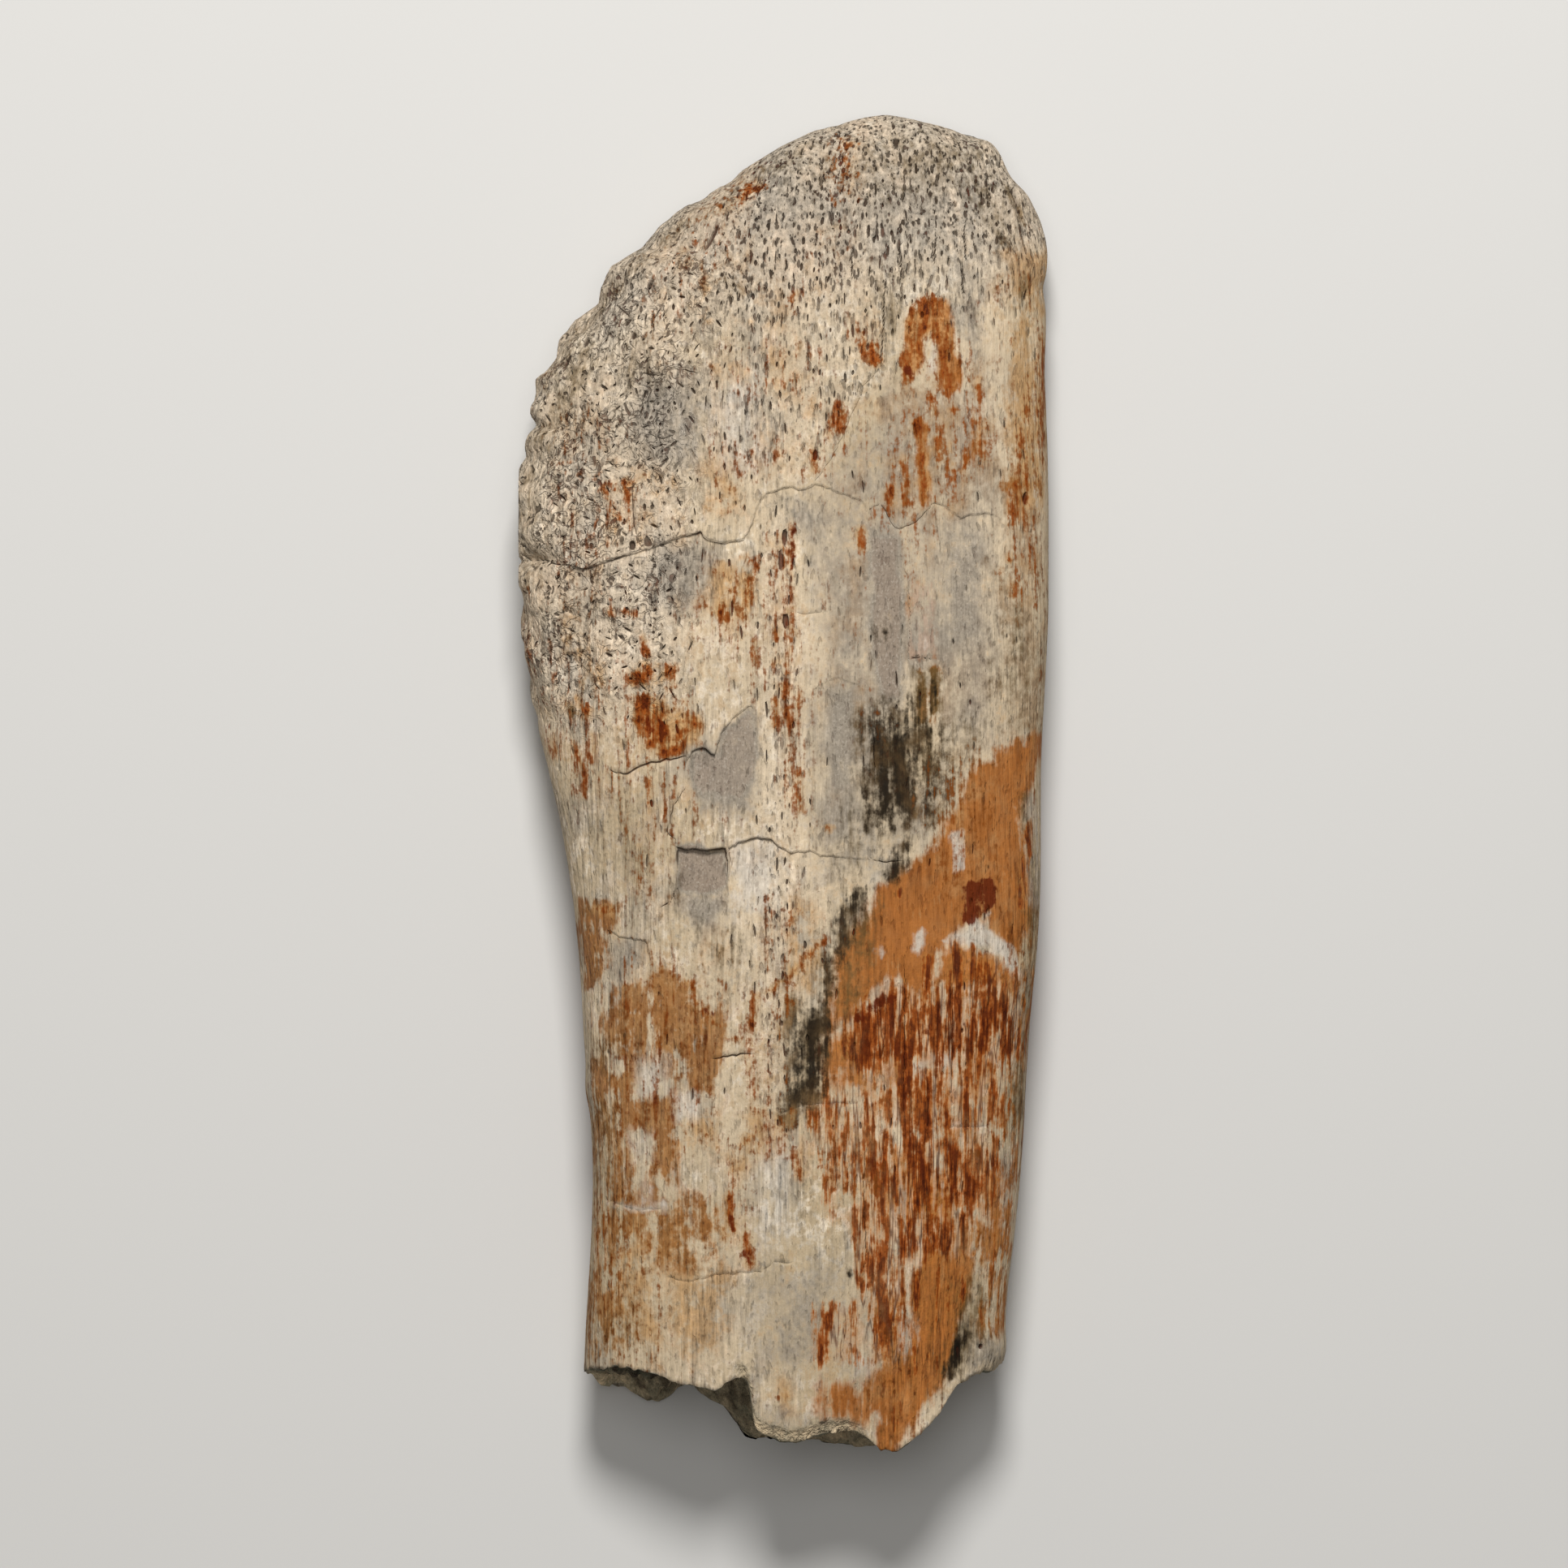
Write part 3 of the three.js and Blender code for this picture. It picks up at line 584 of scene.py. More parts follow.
# ---- Points of the sheet ----
class Room:
    """Which places of the sheet are taken, on a fine grid."""

    CELL = 0.1  # in mm, as is the margin round the sheet
    MARGIN = 1

    def __init__(self):
        self.left = -sheet.reach[-1].max() - self.MARGIN
        width = sheet.reach[1].max() + self.MARGIN - self.left
        height = sheet.length + 2 * self.MARGIN
        self.taken = np.zeros((int(height / self.CELL), int(width / self.CELL)), bool)

    def _window(self, across, along, reach):
        """The cells within reach of a place, and where each lies from it."""
        top = int((along - reach + self.MARGIN) / self.CELL)
        bottom = int((along + reach + self.MARGIN) / self.CELL)
        first = int((across - reach - self.left) / self.CELL)
        last = int((across + reach - self.left) / self.CELL)
        rows = slice(max(top, 0), bottom + 1)
        columns = slice(max(first, 0), last + 1)
        grid = self.taken[rows, columns]
        down, right = np.indices(grid.shape)
        x = (right + columns.start + 0.5) * self.CELL + self.left - across
        y = (down + rows.start + 0.5) * self.CELL - self.MARGIN - along
        return grid, x, y

    def _oval(self, across, along, half_width, half_length, lean):
        """The cells round a place, and which of them its leaning oval covers."""
        grid, x, y = self._window(across, along, max(half_width, half_length) + self.CELL)
        u = x * math.cos(lean) + y * math.sin(lean)
        v = -x * math.sin(lean) + y * math.cos(lean)
        return grid, (u / half_width) ** 2 + (v / half_length) ** 2 <= 1

    def free(self, *oval):
        grid, covered = self._oval(*oval)
        return not grid[covered].any()

    def take(self, *oval):
        grid, covered = self._oval(*oval)
        grid[covered] = True

    def holds(self, across, along):
        """Which places are taken."""
        row = np.clip(((along + self.MARGIN) / self.CELL).astype(int), 0, self.taken.shape[0] - 1)
        column = np.clip(((across - self.left) / self.CELL).astype(int), 0, self.taken.shape[1] - 1)
        return self.taken[row, column]


room = Room()
rng = np.random.default_rng(SEED)
points = []  # rows of across, along, depth and darkness
chains = []  # numbers of the points that follow each other along a kept edge
counted = 0


def add_points(across, along, depth, dark, chain=None):
    """Adds points of the sheet; chain is "open" or "closed" where edges join them in their order."""
    global counted
    rows = np.stack(np.broadcast_arrays(across, along, depth, dark), axis=-1)
    rows = rows.reshape(-1, 4).astype(float)
    points.append(rows)
    numbers = np.arange(counted, counted + len(rows))
    counted += len(rows)
    if chain == "closed":
        numbers = np.append(numbers, numbers[0])
    if chain:
        chains.append(np.stack([numbers[:-1], numbers[1:]], axis=1))


def scar_points():
    """Two close rows of points along each scar's edge, which make it a cliff, and one to each side.
    Inside the scar the rows carry a painted shadow line along the edge.
    """
    for scar in scars:
        depth = scar.depth(*scar.edge.T)
        sharp = depth > 0.05
        out = sideways(scar.edge, closed=True)
        for side in (-2.2, -0.5, 0.5, 2.2):
            row = scar.edge[sharp] + side * CLIFF_WIDTH * out[sharp]
            across, along = sheet.unrolled(*row.T)
            uneven = layered_noise(np.insert(row, 2, 0, axis=1), [(3.5, 1.0), (1.0, 0.5)])
            shadow = np.clip(1.6 * depth[sharp] - 0.2, 0, 0.95) * (1 if abs(side) < 1 else 0.35)
            dark = np.where(scar.cut(*row.T) > 0, shadow * np.clip(0.7 + uneven, 0.05, 1), 0)
            breaks = np.flatnonzero(np.diff(np.flatnonzero(sharp)) > 1) + 1
            for part in np.split(np.arange(len(row)), breaks):
                add_points(across[part], along[part], 0, dark[part], chain="open")
        for x, y in zip(*sheet.unrolled(*scar.edge[sharp].T)):
            room.take(x, y, 0.34, 0.34, 0)


def crack_points():
    """A row of points along the bottom of each crack and one along each of its lips."""
    for width, depth, dark, route in CRACKS:
        line = resampled(np.stack(face_mm(*in_pairs(route).T), axis=1), EDGE_SPACING, CRACK_WOBBLE)
        taper = 0.3 + 0.7 * np.sin(np.linspace(0.06, math.pi - 0.06, len(line)))
        left = sideways(line) * (width * taper / 2)[:, None]
        for row, cut in ((line, depth * taper), (line + left, 0), (line - left, 0)):
            add_points(*sheet.unrolled(*row.T), cut, np.where(np.asarray(cut) > 0, dark, 0))
        for x, y in zip(*sheet.unrolled(*line.T)):
            room.take(x, y, width / 2 + 0.18, width / 2 + 0.18, 0)


def oval_ring(half_width, half_length, count):
    """Evenly spaced points round an oval."""
    turn = np.linspace(0, 2 * math.pi, 121)
    ring = np.stack([half_width * np.cos(turn), half_length * np.sin(turn)], axis=1)
    arc = np.concatenate([[0], np.cumsum(np.hypot(*np.diff(ring, axis=0).T))])
    places = np.arange(count) / count * arc[-1]
    return np.interp(places, arc, ring[:, 0]), np.interp(places, arc, ring[:, 1])


def pit_points(across, along, width, length, lean, depth, dark=1.0):
    """A pit: a ragged rim, a ring on its wall and its bottom."""
    rim_points = 11 if length > LONG_PIT else 8
    for count, share, cut, shade in ((rim_points, 1, 0, 0.08), (rim_points - 4, 0.6, 0.8, dark)):
        u, v = oval_ring(width / 2 * share, length / 2 * share, count)
        ragged = rng.uniform(0.86, 1.12, count)
        x = across + ragged * (u * math.cos(lean) - v * math.sin(lean))
        y = along + ragged * (u * math.sin(lean) + v * math.cos(lean))
        add_points(x, y, depth * cut, shade, chain="closed")
    add_points(across, along, depth, dark)
    room.take(across, along, width / 2 + 0.2, length / 2 + 0.2, lean)


def face_pit_share(px, py):
    """How likely a pit is at a place of the outer face, and how far it may lean from the grain."""
    top = 1 - smoothstep(py + 0.25 * (px - 1000), 300, 470)
    left = (1 - smoothstep(px + 0.05 * (py - 700), 800, 885)) * (1 - smoothstep(py, 800, 950))
    (x1, y1), (x2, y2) = SLANTING_EDGE
    past_edge = ((px - x1) * (y2 - y1) - (py - y1) * (x2 - x1)) / math.hypot(x2 - x1, y2 - y1)
    middle = (1 - smoothstep(py, 480, 680)) * (1 - smoothstep(past_edge, -10, 25)) * 0.4
    spine = 0.35 * np.exp(-(((px - 958) / 22) ** 2))
    spine *= smoothstep(py, 560, 640) * (1 - smoothstep(py, 1300, 1450))
    lower = 0.025 * (1 - smoothstep(py, 1350, 1500))
    share = np.maximum.reduce([top, 0.85 * left, middle, spine, lower])
    wild = np.maximum(left, (1 - smoothstep(px, 840, 930)) * top)
    return share, wild


def pits():
    """The pits that stand out, then small ones that are likeliest where the bone is porous."""
    for px, py, width, length, lean, depth in KNOWN_PITS:
        across, along = (float(v) for v in sheet.unrolled(*face_mm(px, py)))
        pit_points(across, along, width * PIXEL, length * PIXEL, math.radians(lean), depth)
    along = rng.uniform(0, sheet.length - 2, PIT_CANDIDATES)
    side = np.where(rng.random(PIT_CANDIDATES) < 0.5, -1, 1)
    share = rng.random(PIT_CANDIDATES)
    across = side * share * sheet.nearest_reach(side, along)
    place, round_share = sheet.rolled(across, along)
    grain = sheet.grain_lean(across, along)
    chance, wild = face_pit_share(*face_px(place[:, 0], place[:, 1]))
    on_back = round_share > 0.5
    back_chance = 0.55 * porosity(place[:, 0], place[:, 1]) + 0.03
    chance = np.where(on_back, back_chance, chance)
    lucky = rng.random(PIT_CANDIDATES) < chance
    sizes = rng.random((PIT_CANDIDATES, 5))
    for k in np.flatnonzero(lucky):
        dense = chance[k]
        narrowest, widest = PIT_WIDTHS
        width = lerp(narrowest, widest + PIT_SWELLING * dense, sizes[k, 0] ** 1.7)
        length = lerp(*PIT_LENGTHS, sizes[k, 1] ** 1.8) * lerp(1, 0.55, wild[k])
        lean = grain[k] + math.radians((sizes[k, 2] - 0.5) * lerp(16, 150, wild[k]))
        depth = lerp(*PIT_DEPTHS, sizes[k, 3]) * lerp(0.7, 1, dense)
        oval = (across[k], along[k], width / 2 + 0.2, length / 2 + 0.24, lean)
        if place[k, 1] > PIT_START and room.free(*oval):
            pit_points(across[k], along[k], width, length, lean, depth, lerp(0.45, 1, sizes[k, 4]))


def rim():
    """The skin's lower rim at the break, from the back round the left and over the face to the back."""
    passes = 12
    damping = 0.7
    share = np.linspace(-1, 1, int(RIM_LENGTH / RIM_SPACING))
    along = np.full(len(share), float(sheet.along_at(BREAK_LEVEL)))
    for _ in range(passes):
        across = share * sheet.nearest_reach(share, along)
        place, _ = sheet.rolled(across, along)
        along = along + damping * (sheet.along_at(break_at(place[:, 0], place[:, 2])) - along)
    place[:, 1] = 0
    rough = layered_noise(place, [(3.0, 0.6), (1.1, 0.5), (0.5, 0.3)], seed=40.0)
    return across, along + BREAK_ROUGHNESS * rough


def tip_points():
    """Rows that close up towards the far tip, where the sheet is drawn together."""
    for share in np.linspace(0.12, 1, 9):
        along = sheet.length - TIP_LENGTH * share**2
        left, right = (float(sheet.reach_at(along, side)) for side in (-1, 1))
        across = np.arange(0.4 - left, right - 0.35, FACE_SPACING)
        across = across[~room.holds(across, np.full(len(across), along))]
        add_points(across, along, 0, 0)
        for place in across:
            room.take(place, along, 0.2, 0.2, 0)


def lattice(spacing, keep):
    """Jittered points in a triangular pattern over the part of the sheet that keep(share) picks."""
    rows = np.arange(0, sheet.length, spacing * TRIANGLE_ROW)
    width = max(sheet.reach[1].max(), sheet.reach[-1].max())
    columns = np.arange(-width, width, spacing)
    across, along = np.meshgrid(columns, rows)
    across = across + (np.arange(len(rows)) % 2)[:, None] * spacing / 2
    jitter = rng.uniform(-0.18, 0.18, (2, *across.shape)) * spacing
    across = (across + jitter[0]).ravel()
    along = (along + jitter[1]).ravel()
    reach = sheet.nearest_reach(across, along)
    share = np.abs(across) / reach
    inner = (np.abs(across) < reach - 0.5 * spacing) & (along < sheet.length - 0.3 * spacing)
    good = inner & keep(share) & ~room.holds(across, along)
    add_points(across[good], along[good], 0, 0)


scar_points()
crack_points()
pits()
tip_points()
lattice(FACE_SPACING, lambda share: share < FACE_SHARE)
lattice(BACK_SPACING, lambda share: share >= FACE_SHARE)

# The border of the sheet: the rim at the break, and the seam along the back's middle on both sides.
rim_across, rim_along = rim()
seam_steps = int((sheet.length - rim_along[-1]) / BACK_SPACING)
seam_along = np.linspace(rim_along[-1], sheet.length - TIP_LENGTH, seam_steps)[1:]
seam_along = np.append(seam_along, sheet.length - TIP_LENGTH * np.linspace(0.9, 0, 8) ** 2)
right_seam = np.stack([sheet.reach_at(seam_along, 1), seam_along], axis=1)
left_seam = np.stack([-sheet.reach_at(seam_along, -1), seam_along], axis=1)[:-1][::-1]
border = np.vstack([np.stack([rim_across, rim_along], axis=1), right_seam, left_seam])

# The points and edges inside it.
inner_points = np.vstack(points)
above_rim = inner_points[:, 1] > np.interp(inner_points[:, 0], rim_across, rim_along) + 0.25
inner_edges = np.vstack(chains)
inner_edges = inner_edges[above_rim[inner_edges].all(axis=1)]
inner_edges = (np.cumsum(above_rim) - 1)[inner_edges]
inner_points = inner_points[above_rim]


# ---- Stains, and some shapes of painted shade: shapes in px of the view from above, and how thickly each lies there ----
BEND_ACROSS = 8  # how far, in px, the stains' outlines wander
BEND_ALONG = 14.4


def strokes(density, radius, *routes):
    """Marks with one half width, each along a route of places, or at one place."""
    return [(density, radius, max(radius * 0.8, 3.5), in_pairs(route)) for route in routes]


def area(density, softness, *corners):
    """A stained area inside a closed outline."""
    return density, None, softness, in_pairs(corners)


def box(density, softness, left, top, right, bottom):
    return area(density, softness, left, top, right, top, right, bottom, left, bottom)


ORANGE_WASH = [
    area(1.0, 8, 1292, 905, 1256, 916, 1231, 924, 1230, 948, 1204, 938, 1194, 960, 1185, 997,
         1157, 1013, 1150, 1045, 1119, 1070, 1087, 1095, 1065, 1115, 1049, 1159, 1027, 1180,
         1020, 1235, 1023, 1275, 1055, 1242, 1087, 1207, 1112, 1207, 1128, 1229, 1150, 1180,
         1169, 1156, 1195, 1134, 1214, 1127, 1233, 1159, 1256, 1176, 1272, 1120, 1268, 1060,
         1263, 1000, 1274, 960),
    area(0.4, 20, 1030, 1240, 1100, 1200, 1180, 1180, 1240, 1190, 1250, 1290, 1235, 1400, 1210, 1420,
         1120, 1400, 1060, 1340, 1030, 1320),
    area(0.46, 24, 1070, 1400, 1235, 1400, 1230, 1545, 1110, 1545, 1075, 1480),
    area(0.7, 12, 1212, 1440, 1250, 1420, 1246, 1545, 1205, 1550),
    area(1.0, 9, 1146, 1539, 1197, 1545, 1200, 1580, 1180, 1638, 1172, 1680, 1159, 1706, 1139, 1738,
         1114, 1777, 1098, 1800, 1085, 1800, 1085, 1750, 1070, 1735, 1078, 1690, 1120, 1674,
         1126, 1635, 1120, 1584, 1133, 1564),
    area(0.6, 12, 998, 1715, 1014, 1700, 1062, 1702, 1090, 1690, 1090, 1760, 1046, 1757, 1012, 1752),
    area(1.0, 4, 1112, 442, 1117, 405, 1128, 378, 1146, 362, 1164, 364, 1173, 392, 1176, 430,
         1184, 460, 1182, 490, 1166, 486, 1158, 440, 1150, 416, 1139, 418, 1137, 440, 1134, 462,
         1118, 464),
    area(0.9, 8, 1160, 1168, 1195, 1170, 1232, 1186, 1255, 1215, 1150, 1215),
    area(0.7, 12, 1010, 1270, 1060, 1255, 1070, 1340, 1010, 1345),
    area(0.6, 12, 1072, 1590, 1120, 1590, 1120, 1680, 1076, 1680),
    box(0.36, 5, 1120, 715, 1152, 809),
    *strokes(0.6, 8, (1250, 600, 1252, 640)),
    *strokes(0.6, 9, (1204, 505, 1210, 540, 1190, 575)),
    *strokes(0.75, 8, (1138, 520, 1137, 560, 1138, 612)),
]
DARK_STREAKS = [
    area(0.86, 9, 1023, 1287, 1055, 1246, 1087, 1208, 1115, 1207, 1130, 1230, 1165, 1236, 1170, 1285,
         1150, 1298, 1106, 1306, 1074, 1332, 1033, 1308),
    area(0.85, 8, 1169, 1162, 1196, 1168, 1232, 1180, 1240, 1216, 1170, 1222),
    area(0.75, 10, 1150, 1216, 1265, 1200, 1265, 1310, 1150, 1305),
    area(0.54, 12, 1170, 1299, 1252, 1299, 1250, 1394, 1176, 1394),
    area(0.55, 10, 1087, 1320, 1180, 1300, 1180, 1400, 1087, 1400),
    area(0.5, 14, 998, 1343, 1087, 1320, 1090, 1420, 1030, 1500, 1000, 1400),
    area(0.82, 10, 1157, 1408, 1233, 1401, 1230, 1490, 1165, 1488),
    area(0.72, 10, 1100, 1490, 1205, 1490, 1200, 1556, 1106, 1556),
    area(0.62, 9, 1050, 1490, 1106, 1490, 1116, 1580, 1110, 1680, 1070, 1680, 1062, 1580),
    area(0.5, 9, 1004, 1610, 1066, 1600, 1070, 1684, 1000, 1684),
    area(0.35, 10, 1146, 1545, 1197, 1548, 1180, 1640, 1150, 1720, 1090, 1790, 1080, 1700,
         1120, 1660),
    area(0.4, 16, 1205, 1490, 1246, 1480, 1240, 1640, 1215, 1640),
    area(0.8, 6, 1065, 1354, 1082, 1354, 1080, 1395, 1066, 1395),
    area(0.8, 6, 996, 1370, 1018, 1366, 1016, 1397, 1000, 1397),
    area(0.85, 8, 1076, 1570, 1100, 1570, 1105, 1635, 1107, 1675, 1082, 1672, 1078, 1630),
    box(0.55, 10, 1060, 1394, 1170, 1500),
    *strokes(0.7, 3, (1060, 1560, 1060, 1640)),
    *strokes(0.75, 3, (1030, 1632, 1030, 1662)),
    *strokes(0.8, 3, (1012, 1640, 1012, 1668), (1051, 1600, 1050, 1672)),
    *strokes(0.8, 4, (1030, 1408, 1030, 1463)),
    *strokes(0.8, 5, (1128, 1560, 1130, 1610), (1262, 1060, 1260, 1116)),
    *strokes(0.85, 3, (1041, 1628, 1040, 1676)),
    *strokes(0.85, 5, (1190, 1280, 1192, 1390), (1144, 1318, 1144, 1480)),
    *strokes(0.85, 6, (1268, 1012, 1266, 1050)),
    *strokes(0.9, 3, (1021, 1616, 1020, 1682)),
    *strokes(0.9, 5, (1128, 1400, 1128, 1490), (1114, 1290, 1114, 1400), (1108, 1095)),
    *strokes(0.9, 6, (1042, 1394, 1042, 1470), (1092, 1400, 1090, 1500)),
    *strokes(0.95, 5, (1180, 1170, 1184, 1245), (1200, 1165, 1203, 1260), (1218, 1180, 1218, 1300)),
    *strokes(0.95, 6, (1146, 1180, 1146, 1250), (1064, 1400, 1066, 1500, 1062, 1578)),
]
BLACK = [
    area(0.95, 24, 1080, 890, 1116, 885, 1124, 930, 1120, 990, 1098, 995, 1080, 965),
    area(0.84, 22, 1072, 885, 1120, 878, 1130, 1000, 1075, 1005),
    area(0.5, 16, 1130, 890, 1155, 895, 1172, 935, 1170, 975, 1150, 1020, 1135, 990),
    area(0.9, 14, 985, 1312, 1010, 1300, 1012, 1340, 985, 1365, 966, 1378, 972, 1345),
    *strokes(0.3, 4, (1152, 834, 1152, 876)),
    *strokes(0.3, 5, (1133, 840, 1134, 880)),
    *strokes(0.4, 12, (1112, 1045, 1098, 1075)),
    *strokes(0.42, 14, (1048, 1130, 1030, 1170, 1018, 1215)),
    *strokes(0.45, 14, (978, 1235, 972, 1310)),
    *strokes(0.5, 4, (1044, 1565)),
    *strokes(0.5, 11, (1060, 1100, 1050, 1125)),
    *strokes(0.55, 9, (1086, 782)),
    *strokes(0.6, 5, (704, 876)),
    *strokes(0.6, 8, (1146, 975, 1148, 1015)),
    *strokes(0.7, 7, (1172, 1695, 1180, 1660, 1188, 1645)),
    *strokes(0.8, 16, (1002, 1250, 1000, 1300)),
]
OLIVE_AND_SHADE = [
    area(0.75, 14, 1060, 1120, 1080, 1110, 1074, 1160, 1062, 1240, 1030, 1265, 1022, 1215,
         1038, 1175),
    area(0.42, 26, 705, 930, 830, 950, 830, 1110, 730, 1110),
    area(0.34, 24, 1000, 980, 1120, 990, 1060, 1100, 1010, 1100),
    area(0.36, 24, 840, 1140, 950, 1130, 960, 1200, 900, 1240, 850, 1200),
    area(0.55, 10, 728, 1273, 768, 1273, 768, 1318, 730, 1318),
    area(0.75, 11, 1190, 1585, 1215, 1572, 1222, 1600, 1197, 1650, 1174, 1700, 1160, 1712,
         1175, 1650),
    area(0.85, 13, 1178, 1590, 1207, 1560, 1214, 1640, 1190, 1690, 1160, 1720, 1174, 1640),
    area(0.3, 20, 1195, 1640, 1240, 1630, 1240, 1690, 1195, 1700),
    # Painted shade over the far tip, where the face curves away.
    area(0.45, 26, 975, 165, 1060, 140, 1230, 155, 1240, 235, 975, 240),
    area(0.44, 20, 1060, 320, 1130, 320, 1120, 400, 1105, 470, 1060, 480),
    area(0.4, 20, 665, 490, 735, 480, 735, 560, 665, 560),
    area(0.45, 18, 1150, 885, 1215, 885, 1215, 955, 1160, 955),
    area(0.43, 18, 1140, 960, 1195, 955, 1180, 1010, 1140, 1030),
    area(0.38, 20, 770, 1115, 830, 1115, 820, 1195, 765, 1195),
    area(0.36, 20, 665, 720, 735, 720, 735, 800, 670, 800),
    box(0.45, 24, 1225, 700, 1290, 900),
    box(0.55, 12, 728, 1353, 758, 1460),
    box(0.46, 20, 745, 400, 815, 475),
    box(0.36, 24, 735, 1600, 815, 1680),
    # Painted shade along the left edge, where the face rolls away.
    *strokes(0.45, 14, (655, 560, 645, 640, 655, 720)),
    # The first route of this stroke runs along the upper-left edge: painted shade where the face rolls
    # away.
    *strokes(0.5, 12, (670, 480, 700, 420, 745, 365, 800, 310, 860, 265, 930, 215, 1000, 172),
             (895, 330, 905, 360)),
    *strokes(0.5, 14, (1152, 545, 1154, 575)),
    *strokes(0.5, 20, (1215, 230, 1240, 290)),
    *strokes(0.6, 9, (1262, 344, 1262, 362), (722, 1120)),
    *strokes(0.6, 12, (1105, 165)),
    # Painted shade in the valley between two lobes of the left margin.
    *strokes(0.6, 22, (665, 545, 690, 495, 715, 440)),
    *strokes(0.7, 12, (1268, 985, 1278, 1080, 1268, 1230, 1255, 1380)),
    *strokes(0.7, 13, (1140, 900, 1142, 950)),
    *strokes(0.8, 4, (714, 835, 717, 848)),
    *strokes(0.8, 7, (704, 874)),
    *strokes(0.85, 5, (1209, 1590, 1207, 1620), (1188, 1635, 1185, 1675)),
    # Painted shade in the groove by the upper right edge.
    *strokes(0.9, 6, (1245, 225, 1254, 245, 1262, 266)),
    *strokes(0.9, 7, (1152, 826, 1152, 880)),
    *strokes(0.9, 8, (1133, 832, 1134, 884)),
]
BROWN_WASH = [
    area(0.95, 6, 804, 1203, 822, 1201, 849, 1218, 852, 1238, 868, 1252, 888, 1260, 889, 1290,
         880, 1346, 850, 1346, 842, 1300, 815, 1290, 804, 1240),
    area(0.8, 12, 748, 1222, 804, 1215, 806, 1290, 780, 1296, 748, 1290),
    area(0.95, 8, 716, 1116, 745, 1120, 760, 1118, 756, 1140, 738, 1143, 741, 1210, 722, 1210,
         712, 1150),
    area(0.9, 9, 731, 1316, 785, 1318, 783, 1348, 735, 1348),
    area(0.9, 9, 766, 1352, 831, 1352, 833, 1394, 768, 1394),
    area(0.95, 8, 807, 1384, 833, 1384, 831, 1457, 808, 1457),
    area(0.5, 20, 722, 1340, 770, 1340, 775, 1470, 725, 1470),
    area(0.4, 20, 735, 1225, 890, 1230, 880, 1350, 735, 1350),
    area(0.8, 9, 736, 1450, 766, 1453, 764, 1478, 738, 1476),
    area(0.8, 7, 802, 1458, 815, 1458, 815, 1485, 803, 1485),
    area(0.6, 16, 727, 1492, 790, 1490, 792, 1540, 735, 1540),
    area(0.75, 7, 733, 1556, 752, 1556, 752, 1570, 734, 1570),
    area(0.46, 24, 790, 1480, 890, 1490, 880, 1550, 800, 1545),
    area(0.45, 20, 1238, 1200, 1276, 1100, 1270, 1300, 1262, 1480, 1238, 1480),
    area(0.5, 16, 1205, 1500, 1245, 1490, 1240, 1640, 1212, 1640),
    box(0.5, 22, 722, 1570, 770, 1672),
    box(0.55, 16, 740, 1440, 815, 1500),
    *strokes(0.6, 8, (1242, 590, 1278, 590)),
    *strokes(0.62, 5, (1133, 832, 1134, 886), (1152, 828, 1152, 884)),
    *strokes(0.85, 6, (779, 1262, 780, 1330)),
]
